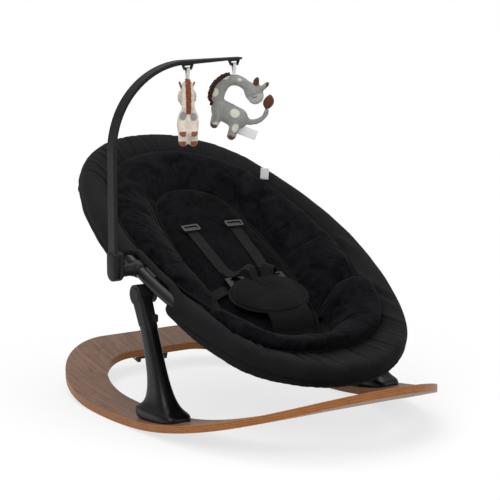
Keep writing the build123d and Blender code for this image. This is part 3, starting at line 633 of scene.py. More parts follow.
def plywood(name):
    """Walnut veneer on the faces, with grain along the bend, and bare plies on the cut edges."""
    coat = {"Coat_Weight": 0.06, "Coat_Roughness": 0.35}
    m = Nodes(name, (0.26, 0.16, 0.11), 0.42, Specular_IOR_Level=0.34, **coat)
    grain = m.noise(9, 8, 0.62, stretch=(1.0, 16.0, 1.0), distortion=0.7)
    fine = m.noise(55, 5, 0.6, stretch=(0.35, 12.0, 0.6))
    pores = m.noise(240, 3, 0.5, stretch=(0.12, 6.0, 1.0))
    flow = m.sum(grain, 0.6, fine, 0.4)
    pore = m.ramp(pores, (0.36, (0.45, 0.42, 0.40)), (0.46, (1, 1, 1)))
    face = m.mix(1.0, m.ramp(flow, *WALNUT), pore, "MULTIPLY")
    # The distance from the bend's axis tells the plies apart, and the normal tells a face from a cut edge
    split, facing = m.node("ShaderNodeSeparateXYZ"), m.node("ShaderNodeSeparateXYZ")
    m.link(m.coords, split.inputs["Vector"])
    m.link(m.normal, facing.inputs["Vector"])
    dx = m.math("SUBTRACT", split.outputs["X"], float(MOVE[0] * MM))
    dz = m.math("SUBTRACT", split.outputs["Z"], BASE_CENTRE_Z * MM)
    radius = m.math("SQRT", m.sum(dx, dx, dz, dz))
    along = m.sum(dx, facing.outputs["X"], dz, facing.outputs["Z"])
    flat = m.step(m.math("ABSOLUTE", m.math("DIVIDE", along, radius)), 0.55, 0.75)
    depth = m.math("DIVIDE", m.math("SUBTRACT", BASE_CENTRE_Z * MM, radius), BASE_T * MM)
    layers = m.ramp(m.math("FRACT", m.math("MULTIPLY", depth, PLY_COUNT)), *PLIES)
    dust = m.noise(120, 4, 0.6, stretch=(0.5, 0.5, 4.0))
    streak = m.ramp(dust, (0.3, (0.72, 0.70, 0.68)), (0.7, (1.12, 1.1, 1.08)))
    edge = m.mix(1.0, layers, streak, "MULTIPLY")
    m.color(m.mix(flat, edge, face))
    m.roughness(flow, 0.36, 0.55)
    m.bump(pores, 0.00025, 0.35)
    m.bump(fine, 0.0002, 0.3)
    return m.mat


def plush(name, base, base_light, second_color, third_color, dot=None):
    """Short plush. Point masks paint a second and a third colour, and dots may be printed on it."""
    m = Nodes(name, base, 1.0, Sheen_Weight=0.3, Sheen_Roughness=0.6, Specular_IOR_Level=0.1)
    clump = m.noise(420, 4, 0.65)
    fluff = m.noise(130, 4, 0.6)
    shade = m.ramp(m.sum(clump, 0.5, fluff, 0.5), (0.32, base), (0.66, base_light))
    if dot:
        cells = m.node("ShaderNodeTexVoronoi", feature="F1")
        set_inputs(cells, Scale=36.0, Randomness=0.45)
        m.link(m.coords, cells.inputs["Vector"])
        spot = m.ramp(cells.outputs["Distance"], (0.26, (1, 1, 1)), (0.31, (0, 0, 0)))
        shade = m.mix(spot, shade, dot)
    shade = m.mix(m.step(m.attribute("spot"), 0.3, 0.7), shade, third_color)
    dark = m.ramp(clump, (0.3, tint(second_color, 0.7)), (0.7, tint(second_color, 1.25)))
    m.color(m.mix(m.step(m.attribute("patch"), 0.4, 0.6), shade, dark))
    m.bump(clump, 0.0012, 0.6)
    m.bump(m.noise(1500, 2), 0.0005, 0.5)
    return m.mat


def felt(name, dark, light):
    """Matted fibres."""
    m = Nodes(name, light, 1.0, Sheen_Weight=0.12, Sheen_Roughness=0.6, Specular_IOR_Level=0.08)
    fibre = m.noise(600, 4, 0.7, stretch=(1.0, 1.0, 0.4))
    m.color(m.ramp(fibre, (0.3, dark), (0.7, light)))
    m.bump(fibre, 0.0008, 0.6)
    return m.mat


def painted(name, color, rough):
    """Sprayed paint with a slight orange peel."""
    m = Nodes(name, color, rough, Specular_IOR_Level=0.25, Coat_Weight=0.08, Coat_Roughness=0.25)
    peel = m.noise(350, 2)
    m.color(m.ramp(m.noise(12, 3), (0.3, tint(color, 0.8)), (0.7, tint(color, 1.25))))
    m.roughness(peel, rough - 0.05, rough + 0.08)
    m.bump(peel, 0.0001, 0.3)
    return m.mat


def steel(name):
    """Brushed steel."""
    m = Nodes(name, (0.55, 0.55, 0.57), 0.3, Metallic=1.0)
    brush = m.noise(300, 3, 0.6, stretch=(1.0, 1.0, 0.05))
    m.color(m.ramp(brush, (0.3, (0.42, 0.42, 0.44)), (0.7, (0.62, 0.62, 0.64))))
    m.roughness(brush, 0.22, 0.42)
    return m.mat


GLOSSY = {"grain": 1400.0, "bump": 0.00005}
M = {
    "cover": fabric("charcoal_cover", (0.0046, 0.0046, 0.0053), (0.0114, 0.0114, 0.0127), 0.0009),
    # Piping cloth, darker than the cover: painted shade for the dark lines along the seams
    "seam": fabric("piping_painted_shade", (0.003, 0.003, 0.0034), (0.006, 0.006, 0.0066), 0.0007),
    "velvet": velvet("velvet", (0.0006, 0.0006, 0.0008), (0.0088, 0.0084, 0.0104)),
    # The back pad's velvet is a darker copy of the insert's: painted shade of the recessed pad
    "pad": velvet("velvet_pad_painted_shade", (0.0006, 0.0006, 0.0008), (0.0066, 0.0065, 0.0078)),
    "crotch": fabric("crotch_cover", (0.0022, 0.0022, 0.0026), (0.0078, 0.0078, 0.0087), 0.0008),
    "web": webbing("webbing", (0.0026, 0.0026, 0.0029), (0.0112, 0.0112, 0.0119)),
    "thread": felt("thread", (0.003, 0.003, 0.0034), (0.008, 0.008, 0.0088)),
    "plastic": plastic("black_plastic", (0.0046, 0.0046, 0.0049), 0.46),
    "gloss": plastic("black_gloss", (0.0030, 0.0030, 0.0033), 0.30, **GLOSSY),
    "glide": plastic("glide_plastic", (0.015, 0.015, 0.0165), 0.30, **GLOSSY),
    "button": plastic("button_plastic", (0.006, 0.006, 0.0065), 0.5),
    "tube": painted("black_tube", (0.0060, 0.0060, 0.0064), 0.36),
    "wood": plywood("plywood"),
    "steel": steel("steel"),
    "grey": plush(
        "grey_plush", (0.158, 0.160, 0.152), (0.285, 0.288, 0.276),
        (0.085, 0.034, 0.021), (0.40, 0.40, 0.385), dot=(0.54, 0.55, 0.45),
    ),
    "cream": plush(
        "cream_plush", (0.52, 0.445, 0.365), (0.74, 0.665, 0.575),
        (0.235, 0.074, 0.026), (0.235, 0.232, 0.225),
    ),
    "brown": felt("brown_felt", (0.055, 0.018, 0.009), (0.140, 0.050, 0.025)),
    "maroon": felt("maroon_felt", (0.020, 0.0075, 0.006), (0.072, 0.027, 0.021)),
    "rust": felt("rust_felt", (0.150, 0.044, 0.014), (0.310, 0.105, 0.038)),
    "greyfelt": felt("grey_felt", (0.150, 0.150, 0.140), (0.270, 0.270, 0.256)),
    "ribbon": fabric("white_ribbon", (0.62, 0.62, 0.60), (0.80, 0.80, 0.78), 0.0007, sheen=0.1),
    "label": fabric("white_label", (0.70, 0.70, 0.69), (0.82, 0.82, 0.81), 0.0006, sheen=0.05),
}


# Hard parts keep their CAD meshes and get materials


def dress(key, *names):
    for name in names:
        materials = nodes[name].data.materials
        materials.clear()
        materials.append(M[key])


def both(*stems):
    """The names of the pieces that come as a left and a right one."""
    return [f"{stem}_{name}" for stem in stems for _, name in SIDES]


dress("wood", "rocker_base")
dress("plastic", *both("leg_collar", "pivot_cap", "pivot_bracket"), "pivot_washers", "toy_bar")
dress("plastic", "toy_hook_inner", "toy_hook_outer", "stop_bracket", "rocker_stop")
dress("button", *both("release_button"))
dress("glide", *both("shoulder_adjuster"))
dress("gloss", *both("waist_buckle"))
dress("tube", "frame_tube_head", "frame_tube_foot")
dress("steel", "leg_screws", "stop_pin", *both("pivot_pin"))


def place(obj, slot, *replaced, body="seat", fill=None):
    """Gives a piece its body and hides the CAD nodes that it stands for. Its slot and its stuffing are not
    used.
    """
    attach(obj, body)
    if replaced:
        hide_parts(*replaced)
    return obj


def piping(name, line, radius, slot, closed=False):
    """A sewn cord along points of the seat plane, in a cloth darker than the cover: painted shade along the
    seam.
    """
    cord = tube_mesh(name, seat_world(line), radius * MM, M["seam"], closed, lift=SEAT_UP)
    place(cord, slot)


# Legs: mouldings with rounder forms than their CAD solids
# Each step is a height and how much of the foot's flare is left there
LEG_STEPS = (
    (19.0, 1.0), (24.0, 1.0), (30.0, 1.0), (33.0, 0.985), (35.2, 0.93), (37.0, 0.84), (39.0, 0.73),
    (42.0, 0.60), (47.0, 0.46), (54.0, 0.33), (64.0, 0.21), (78.0, 0.11), (95.0, 0.04), (115.0, 0.0),
    (140.0, 0.0), (160.0, 0.0), (172.0, 0.0), (184.0, 0.0),
)
LEG_SLIM = ((19, 60, 110, 160, 184), (1.0, 1.10, 1.12, 1.04, 0.96))
LEG_HALF, FOOT_FLARE, FOOT_GAP = (16.5, 11.0), (41.5, 16.0), 0.05


def super_ring(half_x, half_y, power, count=64):
    """An outline between an oval and a rectangle."""
    t = np.linspace(0, TURN, count, endpoint=False)
    c, s = np.cos(t), np.sin(t)
    return half_x * np.sign(c) * np.abs(c) ** (2 / power), half_y * np.sign(s) * np.abs(s) ** (2 / power)


def rocker_top(x):
    """The height of the base's upper face."""
    return BASE_CENTRE_Z - np.sqrt(BASE_INNER_R**2 - x**2)


def leg_ring(side, z, spread, share=1.0):
    """A leg's outline at a height, or a share of it about its middle."""
    rise = z / AXIS_Z
    cx = FOOT_X + (AXIS_X - FOOT_X) * rise**1.5
    cy = side * (FOOT_Y + (HUB_Y - FOOT_Y) * rise)
    slim = np.interp(z, *LEG_SLIM)
    half_x, half_y = (half * slim + spread * flare for half, flare in zip(LEG_HALF, FOOT_FLARE))
    x, y = super_ring(half_x, half_y, 3.0 + 0.8 * spread)
    return level(cx + x * share, cy + y * share, z)


def make_leg(side, name):
    rows = [leg_ring(side, *LEG_STEPS[0], 0.5)] + [leg_ring(side, *step) for step in LEG_STEPS]
    for sole in rows[:2]:
        sole[:, 2] = rocker_top(sole[:, 0]) + FOOT_GAP
    leg = stacked_object(f"moulded_leg_{name}", (np.array(rows) + MOVE) * MM, M["gloss"])
    place(subdivide(leg), "black_plastic", f"leg_{name}", body="rocker")


# Toy bar's clamp and holder: rounder than their CAD solids too
CLAMP_U, CLAMP_R = (10.0, 34.0), (10.6, 12.4, 13.2, 13.4, 13.4, 13.4, 13.2, 12.4, 10.6)
STEM_Y = (-203.0, -214.0, -217.5, -219.5, -222.0, -229.0, -235.5, -237.0, -238.3)
STEM_R = (9.0, 12.2, 11.6, 10.6, 10.2, 10.2, 10.6, 11.6, 11.8)
MOULDED_SIDES = 28
# Each step is a place along the holder and how far its outline is set in there
HOLDER_STEPS = (
    (0, 4.0), (0.4, 2.0), (1.6, 0.6), (3.4, 0.0), (10.6, 0.0), (11.0, 0.7), (11.8, 0.7), (12.2, 0.0),
    (16.0, 0.0), (17.8, 0.6), (18.7, 2.0), (19.0, 4.0),
)
HOLDER_HALF, HOLDER_MIDDLE, HOLDER_TOP, HOLDER_CORNER = 14.0, 256.5, 289.7, 5.0
HOLDER_SIDE_Z = (262.0, 268.0, 274.0, 280.0)


def make_clamp():
    """A ring on the near tube, and the stem that the holder turns on."""
    tube_u, tube_v = oval(FRAME_A, FRAME_B, np.linspace(math.pi * 0.3, math.pi * 0.6, 800))
    u = np.linspace(*CLAMP_U, len(CLAMP_R))
    path = seat_world(level(u, np.interp(-u, -tube_u, -tube_v), -FRAME_DROP))
    radius = np.array(CLAMP_R) * MM
    ring = tube_mesh("clamp_ring", path, radius, M["plastic"], sides=MOULDED_SIDES, lift=SEAT_UP)
    path = np.array([(BAR_AXIS_X, y, BAR_AXIS_Z) for y in STEM_Y]) * MM
    stem = tube_mesh("clamp_stem", path, np.array(STEM_R) * MM, M["plastic"], sides=MOULDED_SIDES)
    place(subdivide(join([ring, stem], "moulded_clamp")), "black_plastic", "toybar_clamp")


def holder_outline(inset):
    """Round below and with two small round corners above, as points (x, z)."""
    half, top, r = HOLDER_HALF - inset, HOLDER_TOP - inset * 0.7, HOLDER_CORNER
    below = np.linspace(-math.pi / 2, math.pi / 2, 33)
    arc = [(half * math.sin(t), HOLDER_MIDDLE - (half + 0.8) * math.cos(t)) for t in below]
    right = [(half, z) for z in HOLDER_SIDE_Z]
    for t in np.linspace(0, math.pi / 2, 8):
        right.append((half - r + r * math.cos(t), top - r + r * math.sin(t)))
    return arc + right + [(-x, z) for x, z in right[::-1]]


def make_holder():
    rows = []
    for y, inset in HOLDER_STEPS:
        rows.append([(BAR_AXIS_X + x, HOLDER_Y + y, z) for x, z in holder_outline(inset)])
    grid = np.array(rows) * MM
    count, last = grid.shape[1], (len(rows) - 1) * grid.shape[1]
    faces = grid_faces(len(rows), count, wrap_cols=True)
    faces += [tuple(range(count)), tuple(range(last, last + count))]
    holder = outward(new_object("moulded_holder", grid.reshape(-1, 3), faces, M["plastic"]))
    place(holder, "black_plastic", "toybar_holder", body="toy_arch")


for side, name in SIDES:
    make_leg(side, name)
make_clamp()
make_holder()

# Rim cover: a fabric sleeve round the tube at the head and the foot, open at both sides where the legs join
BACK_PHI, FRONT_PHI, SKIRT_PHI = (tube_phi(u) for u in (WINDOW_BACK, WINDOW_FRONT, WINDOW_FRONT - 20.0))
SLEEVE_N, SLEEVE_SIDES, SLEEVE_POWER = 300, 36, 2 / 3.2


def gathers(phi, start, end, count, height, seed):
    """A row of soft folds across the rim, spread unevenly between two angles."""
    rng = np.random.default_rng(seed)
    centres = np.linspace(start, end, count) + rng.uniform(-0.3, 0.3, count) * (end - start) / count
    widths = (end - start) / count * rng.uniform(0.22, 0.42, count)
    heights = height * rng.uniform(0.4, 1.0, count)
    total = np.zeros_like(phi)
    for centre, width, high in zip(centres, widths, heights):
        total += high * hump(around(phi - centre), 0.0, width)
    return total


def rim_sleeve(part, start, end):
    """The sleeve of the head or of the foot, with gathers below and outside and hems at its ends."""
    phi = spread_phi(FRAME_A, FRAME_B, start, end, SLEEVE_N)
    half_w, half_h, middle = SLEEVE_W / 2, SLEEVE_H / 2, SLEEVE_TOP - SLEEVE_H / 2
    x0, y0 = oval(FRAME_A, FRAME_B, phi)
    t = np.linspace(0, 1, SLEEVE_N)
    ends = np.minimum(t, 1 - t) * (FRAME_A + FRAME_B)
    hem = 1 - 0.24 * hump(ends, 0.0, 5.0)
    if part == "head":
        deep, hang = 1.0, 0.0
        folds = gathers(phi, start, end, count=44, height=1.6, seed=3)
        folds += gathers(phi, math.pi * 0.80, math.pi * 1.42, count=13, height=2.8, seed=8)
    else:
        deep, hang = limited(0.45 + 0.55 * ends / 60.0), 5.0 * hump(np.abs(phi), 1.0, 0.35)
        folds = gathers(phi, start, end, count=44, height=1.6, seed=4)
    rows = []
    for k in range(SLEEVE_SIDES):
        w = TURN * k / SLEEVE_SIDES
        c, s = math.cos(w), math.sin(w)
        r = half_w * np.sign(c) * abs(c) ** SLEEVE_POWER
        h = half_h * np.sign(s) * abs(s) ** SLEEVE_POWER
        low = max(0.0, -s)
        swell = folds * (0.25 + 0.75 * max(0.0, c) ** 0.7) * min(1.0, max(0.0, 0.35 - s))
        sag = 1.2 * low * np.sin(phi * 3.0 + 1.0)
        out = (r + np.sign(c) * swell * 0.8) * hem
        high = (h * (0.5 if s > 0 else deep) - low * (swell * 0.5 + hang)) * hem + middle + sag - FRAME_DROP
        rows.append(seat_world(level(x0 + np.cos(phi) * out, y0 + np.sin(phi) * out, high)))
    sleeve = ring_object(f"rim_cover_{part}", np.array(rows), False, M["cover"])
    place(subdivide(sleeve), "charcoal_cover", f"rim_sleeve_{part}")


rim_sleeve("head", BACK_PHI, TURN - BACK_PHI)
rim_sleeve("foot", -SKIRT_PHI, SKIRT_PHI)

# Padded band on top of the rim, from the insert's edge to the outer seam; it narrows beside the bare tube
BAND_N, BAND_TOP = 720, 22
RIM_SEAM_OUT, RIM_SEAM_H, RIM_SEAM_R, RIM_SEAM_N = 15.1, -20.9, 1.0, 300


def crease_places(seed, start, end, count, depth):
    """Angle, lean, depth and half-width of pulled-in lines, and the stretch of the band that each spans."""
    rng = np.random.default_rng(seed)
    step = (end - start) / count
    places = []
    for k in range(count):
        inner = rng.random() < 0.5
        low, high = (-0.2, rng.uniform(0.55, 1.0)) if inner else (rng.uniform(0.05, 0.4), 1.2)
        centre = start + (k + 0.5) * step + rng.uniform(-0.3, 0.3) * step
        lean = rng.uniform(-0.10, 0.10)
        deep = depth * rng.uniform(0.45, 1.0)
        half = rng.uniform(0.014, 0.026)
        places.append((centre, lean, deep, half, low, high))
    return places


CREASES = crease_places(11, -1.30, 1.30, count=12, depth=-3.4)
CREASES += crease_places(12, math.pi * 1.06, math.pi * 1.36, count=8, depth=-3.0)
CREASES += crease_places(13, math.pi * 0.62, math.pi * 1.06, count=7, depth=-1.8)


def creases(phi, s):
    """How much the creases, with a soft swell on both sides of each, raise the band at s of its width."""
    total = np.zeros_like(phi)
    for centre, lean, depth, half, low, high in CREASES:
        d = around(phi - centre - lean * (s - 0.5))
        reach = limited((s - low) / 0.18) * limited((high - s) / 0.18)
        total += depth * reach * (hump(d, 0.0, half) - 0.45 * hump(np.abs(d), 2.2 * half, 1.3 * half))
    return total


def make_rim_band():
    """Rows of points round the rim, from a wide profile and, beside the bare tube, a narrow one."""
    phi = all_round(FRAME_A, FRAME_B, BAND_N)
    tube_x, tube_y = oval(FRAME_A, FRAME_B, phi)
    slim = limited((tube_x - WINDOW_BACK + 5) / 10) * limited((WINDOW_FRONT + 16 - tube_x) / 66)
    slim = slim * slim * (3 - 2 * slim) * (tube_y < 0)
    in_x, in_y = oval(INSERT_A - 1.0, INSERT_B - 1.0, phi)
    inner = level(in_x + INSERT_U, in_y, -9.0)
    head, foot = limited(-np.cos(phi)), limited(np.cos(phi))
    low_foot = limited(np.cos(phi) * 1.4)
    beside = hump(tube_x, 50.0, 26.0) * (np.abs(tube_y) > 150)

    def ring(out, h):
        return level(*oval(FRAME_A + out, FRAME_B + out, phi), h)

    def toward(out, share, h):
        at = inner * (1 - share) + ring(out, 0) * share
        at[:, 2] = h
        return at

    def narrowed(wide, narrow):
        return [w * (1 - slim[:, None]) + n * slim[:, None] for w, n in zip(wide, narrow)]

    crown = 1.0 + 2.5 * head - 12.0 * low_foot + 7.0 * beside
    wide = [inner, toward(-8, 0.42, crown), ring(-7, 7.0 + 2.0 * head - 3.0 * low_foot)]
    wide += [ring(8, 4.0 + 1.5 * head - 0.8 * low_foot), ring(14.8, -8.0), ring(15.3, -20.0)]
    narrow = [inner, toward(-17.5, 0.4, 2.5), ring(-17.5, 8.0)]
    narrow += [ring(-11.5, 7.5), ring(-8.5, 4.5), ring(-8.5, 2.8)]
    wide_low = [ring(12.5, -21.0), ring(0, -14.0), toward(0, 0.4, -13.0), toward(0, 0.05, -13.0)]
    narrow_low = [ring(-10, 1.0), ring(-14, -4.0), toward(-14, 0.4, -9.0), toward(-14, 0.05, -11.0)]
    top = smooth_rows(narrowed(wide, narrow), BAND_TOP)
    for k, at in enumerate(top):
        share = k / (BAND_TOP - 1)
        ease = min(1.0, 2.2 * math.sin(math.pi * share))
        over_tube = 1.5 - 1.05 * min(1.0, max(0.0, (share - 0.30) / 0.2))
        ripple = 1.2 * np.sin(phi * 19 + 4 * share) * foot
        at[:, 2] += (over_tube * creases(phi, share * 1.25) + ripple) * (1 - slim) * ease
    grid = np.array(top + narrowed(wide_low, narrow_low))
    unsettle(grid, size=45.0, amount=0.9, seed=14, rows=np.arange(len(grid)) < BAND_TOP - 2)
    band = ring_object("rim_band", seat_world(grid), True, M["cover"])
    place(band, "charcoal_cover", fill=0.6)


def rim_seam(name, start, end):
    """A cord along the band's outer edge, darker than the band: painted shade of the seam line."""
    phi = spread_phi(FRAME_A, FRAME_B, start, end, RIM_SEAM_N)
    line = level(*oval(FRAME_A + RIM_SEAM_OUT, FRAME_B + RIM_SEAM_OUT, phi), RIM_SEAM_H)
    piping(name, line, RIM_SEAM_R, "charcoal_cover")


make_rim_band()
rim_seam("rim_seam_head", BACK_PHI, TURN - BACK_PHI)
rim_seam("rim_seam_foot", -FRONT_PHI + 0.04, FRONT_PHI - 0.04)

# Bowl of the seat: charcoal cover from the rim down under the cushions
BOWL_OVER = (
    (1.25, -62.5), (1.1, -60.2), (0.95, -57.6), (0.78, -53.2), (0.60, -47.8), (0.44, -40.4), (0.28, -31.9),
    (0.16, -24.0), (0.08, -18.2), (0.0, -15.0),
)
BOWL_UNDER = (
    (0.0, -19.0), (0.08, -24.2), (0.28, -37.9), (0.44, -46.4), (0.60, -53.8), (0.78, -59.2), (0.95, -63.6),
    (1.1, -66.2), (1.25, -68.5),
)
# The way from the inner seam out to the rim, the hem there and how far the bowl reaches beside the bare tube
BOWL_SHARES = (0.2, 0.4, 0.6, 0.8, 0.92, 1.0)
BOWL_N, BOWL_GAP, BOWL_RIM_H, BOWL_HEM, BOWL_WINDOW_Y = 400, 0.9, -14.0, 6.0, 190.5


def make_bowl():
    phi = all_round(INSERT_A, INSERT_B, BOWL_N)
    rim_x, rim_y = oval(FRAME_A - SLEEVE_W / 2 - BOWL_GAP, FRAME_B - SLEEVE_W / 2 - BOWL_GAP, phi)
    window = (rim_x > WINDOW_BACK) & (rim_x < WINDOW_FRONT)
    trim = np.where(window, np.minimum(1.0, BOWL_WINDOW_Y / np.maximum(np.abs(rim_y), 1.0)), 1.0)
    rim_edge = level(rim_x, rim_y * trim, BOWL_RIM_H)
    rows = [layer(share, h, phi) for share, h in BOWL_OVER]
    inner_seam = rows[-1]
    for t in BOWL_SHARES:
        rows.append(inner_seam * (1 - t) + rim_edge * t)
        rows[-1][:, 2] -= math.sin(math.pi * t) * 2.0
    top_count = len(rows)
    rows.append(rim_edge - np.array([0, 0, BOWL_HEM]))
    rows += [layer(share, h, phi, 3.0) for share, h in BOWL_UNDER]
    grid = np.array(rows)
    unsettle(grid, size=60.0, amount=1.6, seed=2, rows=np.arange(len(rows)) >= top_count)
    bowl = stacked_object("seat_cover_cloth", seat_world(grid), M["cover"])
    place(subdivide(bowl), "charcoal_cover", "seat_cover")


make_bowl()

# Padded insert and roll: sewn between an outer seam and the back pad's seam
# Profiles give a height at each share of the way between the two seams
SECTION_TOP = 26
INSERT_OVER = (
    (0.0, -5.0), (0.02, 1.0), (0.08, 5.5), (0.18, 8.0), (0.30, 6.5), (0.45, 0.5), (0.62, -10.0),
    (0.78, -21.5), (0.90, -32.0), (0.965, -38.5), (1.0, -43.5),
)
ROLL_OVER = (
    (0.0, -6.0), (0.01, 4.0), (0.06, 14.0), (0.17, 22.5), (0.34, 26.0), (0.52, 22.5), (0.70, 11.5),
    (0.84, -4.0), (0.94, -21.0), (0.985, -34.0), (1.0, -43.5),
)
UNDERSIDE = ((0.08, -16.0), (0.28, -29.8), (0.60, -45.8), (0.90, -54.0), (1.0, -43.5))
INSERT_UNDER, ROLL_UNDER = ((0.0, -5.0), *UNDERSIDE), ((0.0, -6.0), *UNDERSIDE)
INSERT_TIP = ((0, 0.28, 0.6, 0.95, 1.0), (-12.0, -28.5, -43.5, -53.0, -46.0))
INSERT_N, INSERT_TIP_N, ROLL_N = 300, 14, 190
INSERT_END_U, ROLL_END_U = SPLIT_U + 26.0, SPLIT_U - 6.0
# Shares of the length over which the insert's tips tuck in and the roll's tips thin out
INSERT_TUCK, ROLL_NEAR, ROLL_FAR = 0.075, 0.24, 0.115
# The line of the roll that its tips draw in to, and how far it leans out at the foot and at its near bulge
ROLL_CORE, ROLL_OUT, BULGE_OUT, BULGE_AT = 0.42, 24.0, 16.0, (-0.90, 0.55)
PIPING_R, ROLL_PIPING_R = 1.9, 2.1


def insert_angles(share):
    edge = phi_at(share, INSERT_END_U)
    return edge, TURN - edge


def roll_angles(share):
    edge = phi_at(share, ROLL_END_U)
    return -edge, edge


def padded_band(over, under, angles, count):
    """The shares and heights of a sewn band's section, each with the angles along the band there."""
    top = smooth_profile(over, SECTION_TOP)
    low = smooth_profile(under, SECTION_TOP // 2 + 2)[1:-1]
    lines = []
    for share, h in np.vstack([top, low[::-1]]):
        a, b = INSERT_A + share * (PAD_A - INSERT_A), INSERT_B + share * (PAD_B - INSERT_B)
        lines.append((share, h, spread_phi(a, b, *angles(share), count)))
    return lines


def between_seams(lines, first, last):
    """Which lines of a band lie clear of its two seams."""
    shares = np.array([share for share, _, _ in lines])
    return (shares > first) & (shares < last)


def sewn_points(grid):
    """The points of a band at its two seams and on its underside."""
    return row_points([0, *range(SECTION_TOP - 1, len(grid))], grid.shape[1])


def make_insert():
    """A horseshoe round the head and the sides, with tips tucked in at the foot."""
    lines = padded_band(INSERT_OVER, INSERT_UNDER, insert_angles, INSERT_N)
    t = np.linspace(0, 1, INSERT_N)
    tuck = limited(1 - np.minimum(t, 1 - t) / INSERT_TUCK) ** 1.5
    rows = []
    for share, h, phi in lines:
        low = np.interp(share, *INSERT_TIP) + 1.5
        rows.append(layer(share, h + (low - h) * tuck * (h > low), phi))
    grid = np.array(rows)
    unsettle(grid, size=85.0, amount=2.2, seed=5, rows=between_seams(lines, 0.05, 0.96))
    insert = ring_object("velvet_insert", seat_world(grid), False, M["velvet"])
    tips = [*range(INSERT_TIP_N), *range(INSERT_N - INSERT_TIP_N, INSERT_N)]
    held = sewn_points(grid) + row_points(range(len(grid)), INSERT_N, tips)
    puff(insert, held, pressure=2.2, cap=6.0, grow=0.025)
    return place(subdivide(insert), "velvet", "upper_insert", fill=0.6)


def make_roll():
    """A plump U at the foot, thin at the near tip and round at the far one. Returns its outer edge."""
    lines = padded_band(ROLL_OVER, ROLL_UNDER, roll_angles, ROLL_N)
    t = np.linspace(0, 1, ROLL_N)
    near_tip = limited(t / ROLL_NEAR)
    far_tip = limited((1 - t) / ROLL_FAR)
    lobe = np.sqrt(limited(1 - (1 - far_tip) ** 2))
    fat = (0.50 + 0.50 * np.sin(near_tip * math.pi / 2) ** 1.3) * lobe**0.55
    wide = np.minimum(0.30 + 0.70 * limited(near_tip * 1.3) ** 0.8, 0.06 + 0.94 * lobe)[:, None]
    rows = []
    for share, h, phi in lines:
        low = np.interp(share, *zip(*ROLL_UNDER))
        height = low + (h - low) * fat
        at = layer(ROLL_CORE, height, phi) * (1 - wide) + layer(share, height, phi) * wide
        near_bulge = hump(phi, *BULGE_AT)
        out = ROLL_OUT * limited(np.cos(phi) * 1.15 + 0.12) ** 0.8 + BULGE_OUT * near_bulge
        at[:, 0] += out * np.cos(phi)
        at[:, 1] += out * np.sin(phi)
        at[:, 2] += -3.0 * limited(np.cos(phi)) - near_bulge
        rows.append(at)
    grid = np.array(rows)
    unsettle(grid, size=60.0, amount=2.2, seed=6, rows=between_seams(lines, 0.03, 0.98))
    roll = ring_object("velvet_roll", seat_world(grid), False, M["velvet"])
    puff(roll, sewn_points(grid), pressure=2.6, cap=7.0, grow=0.03)
    place(subdivide(roll), "velvet", "lower_roll", fill=0.8)
    return grid[0]


insert = make_insert()
roll_edge = make_roll()
insert_phi = spread_phi(INSERT_A, INSERT_B, *insert_angles(0.0), INSERT_N)
piping("insert_piping", layer(-0.012, -3.0, insert_phi), PIPING_R, "velvet")
piping("roll_piping", roll_edge + np.array([0, 0, 0.5]), ROLL_PIPING_R, "velvet")

# Back pad: a crowned oval held at its edge seam, as rings set in from that edge and their heights
PAD_OVER = (
    (0.0, -42.0), (1.5, -39.0), (5.0, -36.4), (11.0, -34.6), (20.0, -33.8), (32.0, -33.5), (46.0, -33.4),
    (60.0, -33.4), (74.0, -33.4), (86.0, -33.4),
)
PAD_UNDER = ((26.0, -61.0), (9.0, -57.0), (2.0, -50.0))
PAD_N, PAD_CORE, PAD_FLOOR, PAD_FOOT, PAD_PIPING_H = 240, 46.0, -61.5, 20.0, -40.6


def pad_ring(inset, phi):
    """The pad's oval, set in. Further in than the core it is scaled, as its four arcs no longer fit."""
    core = min(inset, PAD_CORE)
    x, y = oval(PAD_A - core, PAD_B - core, phi)
    if inset > core:
        x = x * (PAD_A - inset) / (PAD_A - core)
        y = y * ((PAD_B - inset) / (PAD_B - core))
    return x, y


def longer_foot(x, phi):
    """Stretches the pad's oval toward the foot."""
    return x + PAD_FOOT * limited(np.cos(phi)) ** 2 * (np.abs(x) / PAD_A)


def make_back_pad():
    phi = all_round(PAD_A, PAD_B, PAD_N)
    core_x, core_y = pad_ring(PAD_CORE, phi)
    rows = [level(core_x * 0.9, core_y * 0.6, PAD_FLOOR)]
    rows += [level(*pad_ring(inset, phi), h) for inset, h in PAD_UNDER + PAD_OVER]
    grid = np.array(rows)
    grid[:, :, 0] = longer_foot(grid[:, :, 0], phi)
    grid = bed_seat(grid)
    seam_row = len(PAD_UNDER) + 1
    unsettle(grid, size=70.0, amount=1.2, seed=9, rows=np.arange(len(rows)) > seam_row + 1)
    # Its darker velvet is painted shade of the pad's recess
    pad = stacked_object("velvet_back_pad", seat_world(grid), M["pad"])
    puff(pad, row_points(range(seam_row + 1), PAD_N), pressure=1.0, cap=1.6, grow=0.010)
    place(subdivide(pad), "velvet", "back_pad", fill=0.5)
    x, y = oval(PAD_A + 0.6, PAD_B + 0.6, phi)
    edge = bed_seat(level(longer_foot(x, phi), y, PAD_PIPING_H))
    # The pad's edge cord stands where there is only a shadow line round the pad: painted shadow
    piping("pad_piping", edge, PIPING_R, "velvet", closed=True)
    return pad


pad = make_back_pad()

# Harness
WEB_W, WEB_T, WEB_LIFT = 22.0, 1.7, 1.5
SHOULDER_U, SHOULDER_N = (-97.0, 46.0), 40
SHOULDER_V = ((-97, -60, 0, 46), (44.6, 43.5, 41.5, 38.0))
WAIST_U, WAIST_LEAN, WAIST_V, WAIST_N = 66.0, 0.06, (44.0, 90.0), 16
bed_tree = surface_tree(pad, insert)


def lay_strap(name, u, v, node):
    """Webbing laid on the bed along its points (u, v)."""
    path = eased(drop_on(bed_tree, bed_seat(level(u, v, 0.0)), WEB_LIFT))
    across = np.cross(SEAT_UP, np.gradient(path, axis=0))
    place(strip_mesh(name, path, across, WEB_W * MM, WEB_T * MM, M["web"]), "webbing", node)


